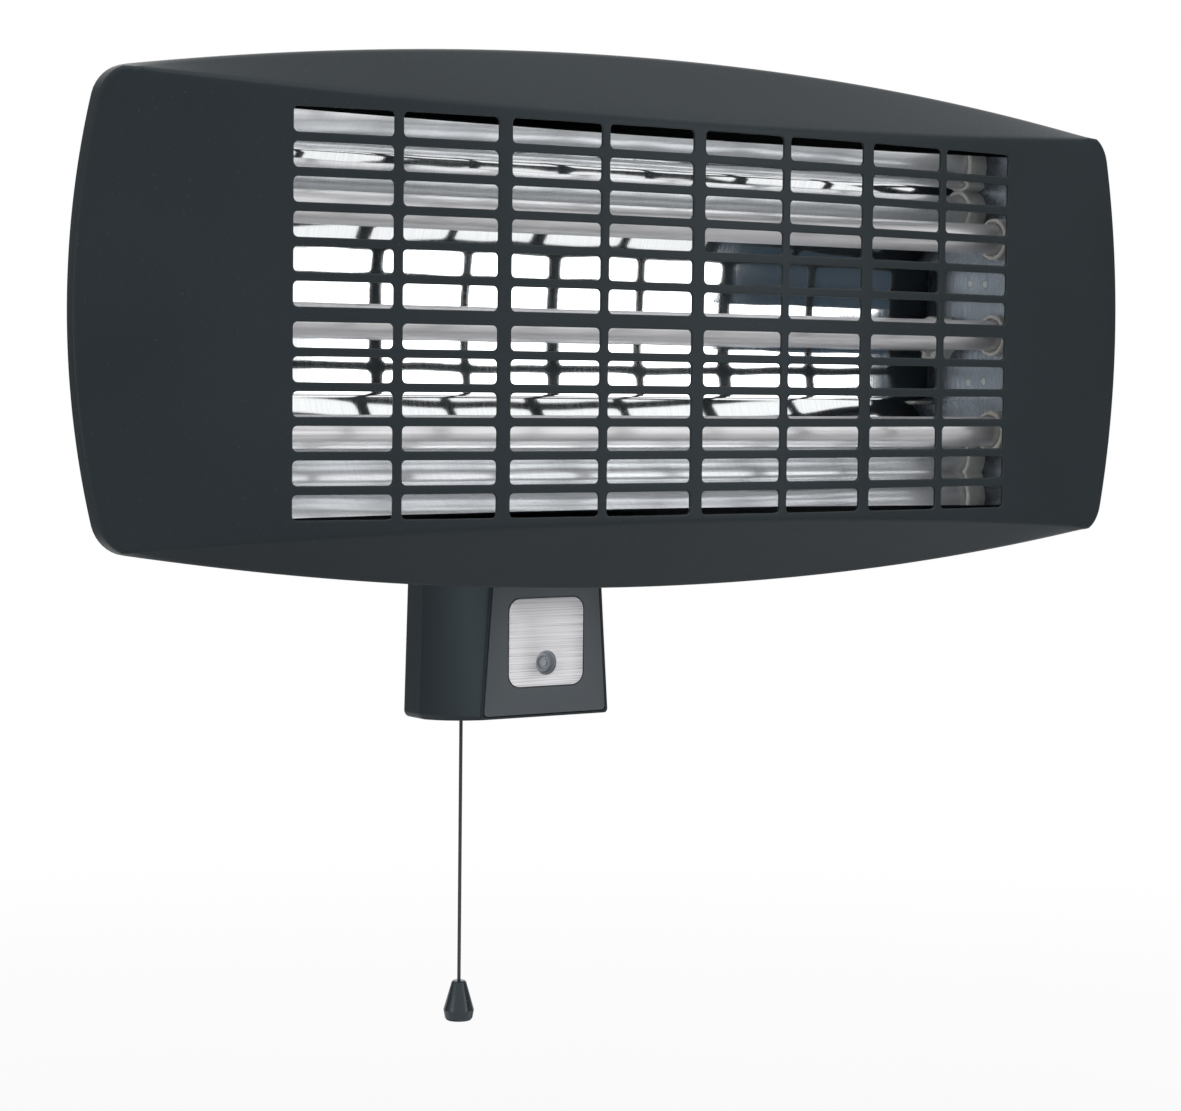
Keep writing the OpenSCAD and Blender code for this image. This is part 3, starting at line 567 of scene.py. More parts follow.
class Finishes:
    """Every material of the heater, by the record's slot."""

    def __init__(self) -> None:
        """Makes each material once."""
        made = {
            # The cover's paler edge colour lightens slot lips and the rim's rounded edge: rubbed paint plus a
            # painted edge highlight.
            "black_cover": Coated("black cover coat", (0.0205, 0.0265, 0.0305), rough=0.4, specular=0.17,
                                  dust=0.35, rubbing_and_highlight_colour=(0.06, 0.062, 0.06)),
            "black_housing": Coated("black housing coat", (0.015, 0.02, 0.023), rough=0.5, grain=900.0),
            "reflector_sheet": Brushed("polished reflector", (0.95, 0.975, 1.0), rough=0.05, scale=45.0,
                                       lines=(40.0, 1.0, 1.0), contrast=0.05, depth=1.5e-6, tarnish=0.02),
            "end_plate_sheet": Brushed("brushed end sheet", (0.3, 0.335, 0.38), rough=0.28, scale=40.0,
                                       lines=(1.0, 12.0, 1.0), contrast=0.03, depth=4e-7, waves=0.0003,
                                       tarnish=0.35),
            "quartz": MilkyQuartz(),
            "heating_wire": Brushed("oxidised wire", (0.3, 0.28, 0.26), rough=0.5, scale=900.0,
                                    lines=(1, 1, 1)),
            "ceramic": Glazed("glazed ceramic", (0.78, 0.76, 0.71), rough=0.28, coat=0.6, mottle=0.14,
                              size=260.0),
            "brass": Brushed("plain brass", (0.72, 0.56, 0.3), rough=0.35, lines=(30.0, 1.0, 30.0),
                             contrast=0.15, tarnish=0.3),
            "zinc_steel": Brushed("zinc plated steel", (0.55, 0.56, 0.57), rough=0.36, scale=300.0,
                                  lines=(1, 1, 1), tarnish=0.25),
            "rubber": Coated("black rubber", (0.018, 0.019, 0.02), rough=0.62, specular=0.4, grain=2200.0,
                             grain_depth=0.00003),
            "black_moulding": Coated("black moulding", (0.018, 0.024, 0.029), rough=0.34, specular=0.25,
                                     grain=1900.0, grain_depth=0.000012, rubbing_and_highlight_colour=(0.03, 0.035, 0.04)),
            "grey_panel": Coated("grey panel", (0.112, 0.124, 0.136), rough=0.42, grain=2400.0,
                                 grain_depth=0.000012, rubbing_and_highlight_colour=(0.08, 0.085, 0.09)),
            "brushed_plate": Brushed("brushed plate", (0.77, 0.76, 0.78), rough=0.55, scale=1800.0,
                                     lines=(0.008, 1.0, 1.0), contrast=0.3, tarnish=0.05),
            "lamp_clear": Coated("smoky lens", (0.34, 0.36, 0.395), rough=0.2, specular=0.6, grain=600.0,
                                 grain_depth=0.00001, cloud=0.3),
            "white_moulding": Glazed("white moulding", (0.75, 0.74, 0.7), rough=0.45, mottle=0.06,
                                     size=400.0),
            "cord_black": Braided(),
            "knob_black": Coated("black knob", (0.016, 0.021, 0.026), rough=0.24, specular=0.55, grain=1800.0,
                                 grain_depth=0.000004),
        }
        self.by_slot = {slot: finish.material() for slot, finish in made.items()}

    def of(self, slot: str) -> Material:
        """The material of a slot."""
        return self.by_slot[slot]

    def settle(self, piece: Piece, body: Body, slot: str, *stands_for: str) -> Piece:
        """Gives a piece its finish, body and record slot, and hides the CAD nodes it stands for.

        Args:
            piece: The finished piece.
            body: Body that it rides on.
            slot: Material slot of the record.
            stands_for: Names of CAD nodes.

        Returns:
            The same piece.
        """
        piece.data.materials.append(self.of(slot))
        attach(piece, body.value)
        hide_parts(*stands_for)
        LOG.info("%s: %d faces on %s", piece.name, len(piece.data.polygons), body.value)
        return piece

    def dress_frame(self) -> None:
        """Puts each CAD node that still shows in its slot's material."""
        for part in frame["record"]["subparts"]:
            node = frame["nodes"][part["node"]]
            if node.hide_render:
                continue
            if not node.material_slots:
                node.data.materials.append(self.of(part["material_slot"]))
            for slot in node.material_slots:
                slot.material = self.of(part["material_slot"])
        LOG.info("frame nodes dressed")


# Studio


@dataclass(frozen=True)
class Studio:
    """Camera, world, lamps, floor and cards of a plain pale studio. Lengths in metres, but for the cards."""

    eye: tuple[float, float, float] = (-0.6352, -1.0103, 0.0876)
    yaw: float = 0.5946
    pitch: float = 0.0587
    roll: float = 0.0107
    lens: float = 89.33
    sensor: float = 36.0
    far: float = 50.0
    floor_z: float = -0.42
    floor_tones: tuple[float, float] = (0.6, 0.64)
    fade_reach: tuple[float, float] = (0.5, 2.0)
    fade_share: tuple[float, float] = (0.86, 1.0)
    navy: Colour = (0.022, 0.045, 0.07)
    grey: Colour = (0.4, 0.42, 0.44)

    def camera(self) -> None:
        """Places the camera: turned right by yaw, down by pitch, then rolled."""
        ca, sa, cp, sp = math.cos(self.yaw), math.sin(self.yaw), math.cos(self.pitch), math.sin(self.pitch)
        forward = np.array([sa * cp, ca * cp, -sp])
        right, down = np.array([ca, -sa, 0.0]), np.array([-sa * sp, -ca * sp, -cp])
        cr, sr = math.cos(self.roll), math.sin(self.roll)
        right, down = right * cr - down * sr, right * sr + down * cr
        data = bpy.data.cameras.new("studio camera")
        data.lens, data.sensor_width, data.clip_end = self.lens, self.sensor, self.far
        camera = bpy.data.objects.new("studio camera", data)
        turn = Matrix(np.column_stack([right, -down, -forward]).tolist()).to_4x4()
        camera.matrix_world = Matrix.Translation(self.eye) @ turn
        bpy.context.scene.collection.objects.link(camera)
        bpy.context.scene.camera = camera

    @staticmethod
    def seen(tree: bpy.types.NodeTree) -> Socket:
        """1 for rays from the camera, from gloss and through clear stuff, else 0."""
        path = tree.nodes.new("ShaderNodeLightPath")
        total = path.outputs["Is Camera Ray"]
        for name in ("Is Glossy Ray", "Is Transmission Ray"):
            add = tree.nodes.new("ShaderNodeMath")
            add.operation = "MAXIMUM"
            tree.links.new(total, add.inputs[0])
            tree.links.new(path.outputs[name], add.inputs[1])
            total = add.outputs[0]
        return total

    def world(self, strength: float = 0.5) -> None:
        """White to the camera and to gloss, and a dimmer even light on everything."""
        world = bpy.data.worlds.new("studio")
        world.use_nodes = True
        bpy.context.scene.world = world
        tree = world.node_tree
        back = tree.nodes["Background"]
        ramp = tree.nodes.new("ShaderNodeMapRange")
        ramp.inputs["To Min"].default_value, ramp.inputs["To Max"].default_value = strength, 1.0
        tree.links.new(self.seen(tree), ramp.inputs["Value"])
        tree.links.new(ramp.outputs["Result"], back.inputs["Strength"])
        back.inputs["Color"].default_value = (1.0, 1.0, 1.0, 1.0)

    def floor(self) -> None:
        """A wide pale disc below the heater: nearly white where seen, and it still takes a soft shadow."""
        radius = np.concatenate([np.linspace(0, 2000, 12), np.linspace(2600, 30000, 8)])
        profile = np.column_stack([radius, np.zeros(len(radius))])
        piece = wrapped(turned(profile, Axis.Z, (0, 0, self.floor_z / MM), 72)).make("studio_floor")
        s = Shader("pale floor")
        tree = s.tree
        glow = s.add("ShaderNodeEmission", {"Color": (1, 1, 1), "Strength": 1.0})
        tone = s.ramp(s.noise(6.0), [(0.3, self.floor_tones[0]), (0.7, self.floor_tones[1])])
        s.finish({"Base Color": tone, "Roughness": 0.9})
        where = s.add("ShaderNodeTexCoord").outputs["Object"]
        away = s.add("ShaderNodeVectorMath", {0: where}, operation="LENGTH").outputs["Value"]
        fade = s.add("ShaderNodeMapRange", {"Value": away, "From Min": self.fade_reach[0],
                                            "From Max": self.fade_reach[1], "To Min": self.fade_share[0],
                                            "To Max": self.fade_share[1]})
        share = s.math("MULTIPLY", fade.outputs["Result"], self.seen(tree))
        blend = s.add("ShaderNodeMixShader", {0: share, 1: s.main.outputs[0], 2: glow.outputs[0]})
        tree.links.new(blend.outputs[0], tree.nodes["Material Output"].inputs["Surface"])
        piece.data.materials.append(s.material)

    def lamp(self, name: str, at: Sequence[float], aim: Sequence[float], size: float, watts: float,
             tint: Colour = (1.0, 1.0, 1.0)) -> None:
        """A square soft lamp.

        Args:
            name: Its name.
            at: Where it hangs.
            aim: Where it points.
            size: Length of its side.
            watts: Its power.
            tint: Colour of its light.
        """
        data = bpy.data.lights.new(name, "AREA")
        data.size, data.energy, data.color = size, watts, tint
        lamp = bpy.data.objects.new(name, data)
        away = np.array(at, float) - np.array(aim, float)
        z = away / np.linalg.norm(away)
        x = np.cross((0, 0, 1.0), z)
        x /= np.linalg.norm(x)
        turn = Matrix(np.column_stack([x, np.cross(z, x), z]).tolist()).to_4x4()
        lamp.matrix_world = Matrix.Translation(at) @ turn
        bpy.context.scene.collection.objects.link(lamp)

    def flags(self) -> None:
        """Cards in millimetres that only gloss shows: navy at the right front, grey elsewhere.

        They stand for the darker ends of a real room. The navy one's left edge has a corner for each
        (x, z) of `edge`.
        """
        edge = [(585.0, -410.0), (565.0, -315.0), (445.0, 100.0), (450.0, 120.0), (574.0, 135.0),
                (590.0, 350.0)]
        right = [[(x, -640.0, z), (950.0, -640.0, z)] for x, z in edge]
        rear = [[(-1500.0, 700.0, z), (-250.0, 700.0, z)] for z in (-410.0, 600.0)]
        side = [[(1300.0, y, -400.0), (1300.0, y, 900.0)] for y in (-900.0, 400.0)]
        low = [[(-200.0, y, -405.0), (900.0, y, -405.0)] for y in (-20.0, 600.0)]
        cards = (("right", self.navy, right), ("rear", self.grey, rear), ("side", self.grey, side),
                 ("low", self.grey, low))
        for name, colour, rows in cards:
            surface = Surface()
            surface.grid(np.array(rows))
            piece = surface.make(f"studio_{name}_flag")
            s = Shader(f"studio {name} flag")
            tone = s.ramp(s.noise(4.0), [(0.3, toned(colour, 0.8)), (0.7, colour)])
            piece.data.materials.append(s.finish({"Base Color": tone, "Roughness": 0.9}))
            piece.visible_camera = piece.visible_diffuse = piece.visible_shadow = False

    def light(self) -> None:
        """A large lamp above, softer ones from the right front and the left, a faint one from behind."""
        self.lamp("top lamp", (0.0, -1.2, 1.9), (0, -0.08, 0.1), 1.6, 16.0)
        self.lamp("right lamp", (1.5, -1.85, 0.3), (0, -0.1, 0.1), 1.2, 8.5)
        self.lamp("left lamp", (-1.7, -0.2, 0.0), (0, -0.04, 0.0), 0.6, 3.0, (0.8, 0.9, 1.0))
        self.lamp("rear lamp", (0.9, 1.6, 1.2), (0, 0, 0.1), 1.4, 5.0)

    def build(self) -> None:
        """Makes world, lamps, floor and cards; the camera is placed before them."""
        self.world()
        self.light()
        self.floor()
        self.flags()
        LOG.info("studio ready")


# The head


@dataclass(frozen=True)
class HeadShape:
    """Form of the head's front: arched outline, convex face and two bevels. Millimetres, from its middle."""

    width: float = 471.0
    height: float = 197.0
    arch_r: float = 1400.0
    side_r: float = 300.0
    corner_r: float = 14.0
    face_r: float = 1078.0
    reach: float = 140.0
    lift: float = 110.0
    crease_mid: float = 72.8
    crease_end: float = 80.4
    crease_half: float = 217.0
    rim_front: float = 27.0
    rim_back: float = 31.0
    soften: float = 0.7

    @property
    def arch_c(self) -> float:
        """Height of the arch's centre."""
        return self.height / 2 - self.arch_r

    @property
    def side_c(self) -> float:
        """Place of the end arc's centre along X."""
        return self.width / 2 - self.side_r

    @property
    def corner(self) -> tuple[float, float]:
        """Centre of the corner arc, where circles about the other two centres cross."""
        a, b = self.arch_r - self.corner_r, self.side_r - self.corner_r
        span = math.hypot(self.side_c, self.arch_c)
        along = (a * a - b * b + span * span) / (2 * span)
        aside = math.sqrt(a * a - along * along)
        tx, tz = self.side_c / span, -self.arch_c / span
        return tx * along + tz * aside, self.arch_c + tz * along - tx * aside

    @property
    def arch_end(self) -> float:
        """Angle about the arch's centre at which the arch ends."""
        x, z = self.corner
        return math.atan2(z - self.arch_c, x)

    @property
    def side_end(self) -> float:
        """Angle about the end arc's centre at which that arc ends."""
        x, z = self.corner
        return math.atan2(z, x - self.side_c)

    def arch(self, x: Array) -> Array:
        """Height of the arched edge at x."""
        return self.arch_c + np.sqrt(self.arch_r**2 - x * x)

    def depth(self, x: Array, z: Array) -> Array:
        """Depth of the front: the face's circle, then a ruled slope past the crease, softly joined."""
        face = self.face_r - np.sqrt(self.face_r**2 - x * x)
        crease = self.crease(x)
        fall = (self.rim_front - face) * (np.abs(z) - crease) / np.maximum(self.arch(x) - crease, 0.6)
        return face + (fall + np.sqrt(fall * fall + self.soften**2)) / 2

    def crease(self, x: Array) -> Array:
        """Height of the crease at x, a flat parabola."""
        return self.crease_mid + (self.crease_end - self.crease_mid) * (x / self.crease_half) ** 2

    def normal(self, x: Array, z: Array, h: float = 0.05) -> Array:
        """Outward direction of the front, from the slopes of its depth."""
        dx = (self.depth(x + h, z) - self.depth(x - h, z)) / (2 * h)
        dz = (self.depth(x, z + h) - self.depth(x, z - h)) / (2 * h)
        out = np.stack([dx, -np.ones_like(dx), dz], axis=-1)
        return out / np.linalg.norm(out, axis=-1, keepdims=True)

    def front(self, x: Array, z: Array, under: Array | float = 0.0) -> Array:
        """Points of the front at (x, z), moved in by a distance under the skin."""
        base = np.stack([x, self.depth(x, z), z], axis=-1)
        return base - self.normal(x, z) * np.broadcast_to(under, x.shape)[..., None]

    def rim(self, u: Array, arc: Arc, inset: float) -> Array:
        """Points of one arc of the first quarter of the outline.

        Args:
            u: From 0 at the arc's lower end to 1 at its upper one.
            arc: Which of the three.
            inset: How far the outline is drawn in.

        Returns:
            Points (x, z) of shape (n, 2).
        """
        ends = {Arc.SIDE: ((self.side_c, 0.0), self.side_r, 0.0, self.side_end),
                Arc.CORNER: (self.corner, self.corner_r, self.side_end, self.arch_end),
                Arc.ARCH: ((0.0, self.arch_c), self.arch_r, self.arch_end, math.pi / 2)}
        (cx, cz), radius, a0, a1 = ends[arc]
        a = a0 + (a1 - a0) * u
        return np.column_stack([cx + (radius - inset) * np.cos(a), cz + (radius - inset) * np.sin(a)])

    def place(self, points: Array) -> Array:
        """Moves points from the head's own middle into the frame."""
        return points + np.array([0.0, -self.reach, self.lift])


def mirrored_loop(quarter: Array, pairs: int = 1) -> Array:
    """A closed loop from its first quarter, mirrored across Z and then across X.

    Args:
        quarter: Rows from the X axis to the Z axis; their first columns are pairs (x, z).
        pairs: Number of such pairs. Further columns are only repeated.

    Returns:
        Loop of 4n - 4 rows, anticlockwise.
    """
    rest = [1] * (quarter.shape[1] - 2 * pairs)
    across, below = (np.array(signs * pairs + rest) for signs in ([-1, 1], [1, -1]))
    half = np.concatenate([quarter, quarter[-2::-1] * across])
    return np.concatenate([half, half[-2:0:-1] * below])


@dataclass(frozen=True)
class FrontCover:
    """Pressed front cover with its grille of rounded slots, one closed skin of sheet."""

    shape: HeadShape
    sheet: float = 1.2
    slot_w: float = 36.6
    slot_h: float = 8.7
    slot_r: float = 1.7
    bar_thin: float = 3.4
    bar_wide: float = 5.3
    cross_bar: float = 3.1
    mid_bar: float = 5.1
    half_rows: int = 6
    lip: float = 0.35
    edge: float = 1.4
    core_x: float = 213.3
    tab_x: tuple[float, float] = (223.5, 231.4)
    tab_y: tuple[float, float] = (25.9, 29.7)
    tab_feet: tuple[float, float] = (-44.0, 36.0)
    tab_high: float = 8.0

    def columns(self) -> tuple[Array, Array]:
        """Middles of the slots and borders of their cells along X."""
        right = self.bar_wide / 2 + self.slot_w / 2 + np.arange(4) * (self.slot_w + self.bar_thin)
        right[2:] += self.bar_wide - self.bar_thin
        border = np.append((right[1:] + right[:-1]) / 2, right[-1] + (self.slot_w + self.bar_thin) / 2)
        return np.concatenate([-right[::-1], right]), np.concatenate([-border[::-1], [0.0], border])

    def rows(self) -> tuple[Array, Array]:
        """Middles of the slots and borders of their cells along Z."""
        pitch = self.slot_h + self.cross_bar
        up = self.mid_bar / 2 + self.slot_h / 2 + np.arange(self.half_rows) * pitch
        border = up + pitch / 2
        return np.concatenate([-up[::-1], up]), np.concatenate([-border[::-1], [0.0], border])

    def ring(self) -> tuple[Array, Array, Array, Array]:
        """One slot's outline, corner by corner: its points are a base plus a radius in a direction.

        Returns:
            Bases (28, 2), directions (28, 2), pulls to the border (28, 2) and its side (28, 2).
        """
        hx, hz = self.slot_w / 2 - self.slot_r, self.slot_h / 2 - self.slot_r
        base, way, pull, side = [], [], [], []
        pulls = np.array([(1, 0), (1, 0.5), (1, 1), (0.5, 1), (0, 1)])
        for q, (sx, sz) in enumerate([(1, 1), (-1, 1), (-1, -1), (1, -1)]):
            a = np.radians(90 * q + np.linspace(0, 90, 5))
            base += [(sx * hx, sz * hz)] * 5
            way += list(zip(np.cos(a), np.sin(a)))
            pull += (pulls if q % 2 == 0 else pulls[::-1]).tolist()
            side += [(sx, sz)] * 5
            for k in (1.0, 0.0, -1.0) if q % 2 == 0 else (0.0,):
                base.append((sx * k * hx, sz * hz) if q % 2 == 0 else (sx * hx, 0.0))
                way.append((0.0, float(sz)) if q % 2 == 0 else (float(sx), 0.0))
                pull.append((0.0, 1.0) if q % 2 == 0 else (1.0, 0.0))
                side.append((sx, sz))
        return np.array(base), np.array(way), np.array(pull), np.array(side, float)

    def grille(self, surface: Surface) -> None:
        """Adds every slot's cell: flat border, rolled lip, wall through the sheet and back border."""
        (cx, bx), (cz, bz) = self.columns(), self.rows()
        base, way, pull, side = self.ring()
        ix, iz = (g.ravel() for g in np.meshgrid(np.arange(len(cx)), np.arange(len(cz)), indexing="ij"))
        middle = np.column_stack([cx[ix], cz[iz]])[:, None]
        low = np.column_stack([bx[ix], bz[iz]])[:, None]
        high = np.column_stack([bx[ix + 1], bz[iz + 1]])[:, None]
        own = middle + base
        border = own + pull * (np.where(side > 0, high, low) - own)
        turn = np.radians([0, 30, 60, 90])
        grow = np.concatenate([[self.lip + 0.5], self.lip * (1 - np.sin(turn)), [0.0, 0.2]])
        under = np.concatenate([[0.0], self.lip * (1 - np.cos(turn)), [self.sheet - 0.2, self.sheet]])
        rolled = own[:, None] + (self.slot_r + grow)[:, None, None] * way
        flat = np.concatenate([border[:, None], rolled, border[:, None]], axis=1)
        deep = np.concatenate([[0.0], under, [self.sheet]])[None, :, None]
        points = self.shape.front(flat[..., 0], flat[..., 1], np.broadcast_to(deep, flat.shape[:-1]))
        # Lightening of each slot's rolled lip: rubbed paint plus a painted edge highlight.
        rubbing_and_highlight = np.array([0, 0, 0.1, 0.5, 0.7, 0.5, 0, 0, 0])[None, :, None]
        surface.grid(self.shape.place(points), wrap_cols=True, rubbing_and_highlight=rubbing_and_highlight)

    def samples(self) -> tuple[Array, Array]:
        """Values of X and of Z at which the cells' borders have points, and X on to the core's ends."""
        made = []
        for (middle, border), half, extra in ((self.columns(), self.slot_w / 2 - self.slot_r, 3),
                                              (self.rows(), self.slot_h / 2 - self.slot_r, 1)):
            inner = middle[:, None] + np.linspace(-half, half, extra + 2)
            low, high = border[:-1, None], border[1:, None]
            rows = np.concatenate([low, (low + inner[:, :1]) / 2, inner, (high + inner[:, -1:]) / 2], axis=1)
            made.append(np.append(rows.ravel(), border[-1]))
        tail = np.linspace(made[0][-1], self.core_x, 10)[1:]
        return np.concatenate([-tail[::-1], made[0], tail]), made[1]

    def plain(self, surface: Surface) -> None:
        """Adds the plain face beside the grille, front and back, on both sides."""
        x, z = self.samples()
        reach = self.columns()[1][-1]
        for keep in (x >= reach - 1e-6, x <= -reach + 1e-6):
            gx, gz = np.meshgrid(x[keep], z, indexing="ij")
            for under in (0.0, self.sheet):
                surface.grid(self.shape.place(self.shape.front(gx, gz, under)))

    def spokes(self) -> tuple[Array, Array, Array, Array]:
        """Lines from the core's border to the outline, all round.

        Returns:
            Starts (n, 2), outline points (n, 2), outward directions (n, 2) and places along (n, 12).
        """
        x, z = self.samples()
        shape, top = self.shape, z[-1]
        (kx, kz), r = shape.corner, shape.corner_r
        even = np.linspace(0, 1, 12)

        def right(zs: Array) -> Array:
            """Outline points and directions at heights zs: the end arc, or the corner past its end."""
            a = np.arcsin(zs / shape.side_r)
            b = np.arcsin(np.clip((np.abs(zs) - kz) / r, 0, 1))
            arc = np.column_stack([shape.side_c + shape.side_r * np.cos(a), zs, np.cos(a), np.sin(a)])
            bend = np.column_stack([kx + r * np.cos(b), zs, np.cos(b), np.sign(zs) * np.sin(b)])
            return np.where((np.abs(zs) > shape.side_r * math.sin(shape.side_end))[:, None], bend, arc)

        def over(xs: Array) -> tuple[Array, Array]:
            """Outline points and directions above xs, and places that keep close to the crease."""
            h = shape.arch(xs)
            out = np.column_stack([xs, h, xs / shape.arch_r, (h - shape.arch_c) / shape.arch_r])
            length = h - self.edge - top
            c = np.clip((shape.crease(xs) - top) / length, 0.02, 0.97)
            w = np.minimum(1.6 / length, 0.9 * np.minimum(c, 1 - c))
            b = c + w
            near = [0 * c, (c - w) / 2, c - w, c - w / 2, c, c + w / 2]
            return out, np.column_stack(near + [b + (1 - b) * t for t in np.linspace(0, 1, 6)])

        zs, xs = z[z >= 0], x[x >= 0][::-1]
        side, (arch, along) = right(zs), over(xs)
        start = math.asin(min(1.0, (top - kz) / r))
        a = np.linspace(start, shape.arch_end, 9)[1:]
        bend = np.column_stack([kx + r * np.cos(a), kz + r * np.sin(a), np.cos(a), np.sin(a)])
        share = np.linspace(0, 1, 10)[1:-1, None]
        quarter = np.concatenate([
            np.column_stack([np.full(len(zs), self.core_x), zs, side, np.tile(even, (len(zs), 1))]),
            np.column_stack([np.full(8, self.core_x), np.full(8, top), bend,
                             even * (1 - share) + along[0] * share]),
            np.column_stack([xs, np.full(len(xs), top), arch, along])])
        loop = mirrored_loop(quarter, 3)
        return loop[:, :2], loop[:, 2:4], loop[:, 4:6], loop[:, 6:]

    def rim(self, surface: Surface) -> None:
        """Adds the slopes, the rounded edge and the rim's wall, out along each spoke and back inside."""
        start, outline, out, along = self.spokes()
        shape = self.shape
        end = outline - out * self.edge
        flat = start[:, None] + (end - start)[:, None] * along[..., None]
        skin = shape.front(flat[..., 0], flat[..., 1])
        face = shape.normal(flat[..., 0], flat[..., 1])
        turn = np.radians([18, 36, 54, 72, 90])
        bend = end[:, None] + out[:, None] * (self.edge * np.sin(turn))[None, :, None]
        deep = shape.depth(bend[..., 0], bend[..., 1]) + 0.8 * self.edge * (1 - np.cos(turn))
        round_edge = np.stack([bend[..., 0], deep, bend[..., 1]], axis=-1)
        wall_way = np.stack([out[:, 0], np.zeros(len(out)), out[:, 1]], axis=-1)[:, None]
        lean = face[:, -1:] * np.cos(turn)[None, :, None] + wall_way * np.sin(turn)[None, :, None]
        lean /= np.linalg.norm(lean, axis=-1, keepdims=True)
        level = deep[:, -1:] + (shape.rim_back - deep[:, -1:]) * np.array([0.5, 1.0])
        wall = np.stack([np.broadcast_to(outline[:, :1], level.shape), level,
                         np.broadcast_to(outline[:, 1:], level.shape)], axis=-1)
        outer = np.concatenate([skin, round_edge, wall], axis=1)
        way = np.concatenate([face, lean, np.broadcast_to(wall_way, wall.shape)], axis=1)
        inner = (outer - way * self.sheet)[:, ::-1]
        # Lightening of the rim's rounded edge: rubbed paint plus a painted edge highlight.
        rubbing_and_highlight = np.concatenate([np.zeros(12), [0.1, 0.25, 0.3, 0.2, 0.1], np.zeros(21)])
        surface.grid(shape.place(np.concatenate([outer, inner], axis=1)), wrap_rows=True, rubbing_and_highlight=rubbing_and_highlight[None, :])

    def build(self, finishes: Finishes) -> None:
        """Joins grille, face and rim, with the four screw tabs inside.

        Args:
            finishes: Source of the material.
        """
        surface = Surface()
        self.grille(surface)
        self.plain(surface)
        self.rim(surface)
        (near, far), place = self.tab_y, self.shape.place
        for sx in (-1, 1):
            for foot in self.tab_feet:
                low, high = sorted(sx * x for x in self.tab_x)
                corners = np.array([(low, near, foot), (high, far, foot + self.tab_high)])
                surface.block(*place(corners))
        finishes.settle(surface.make("front_cover_sheet", 45.0), Body.HEAD, "black_cover", "front_cover")


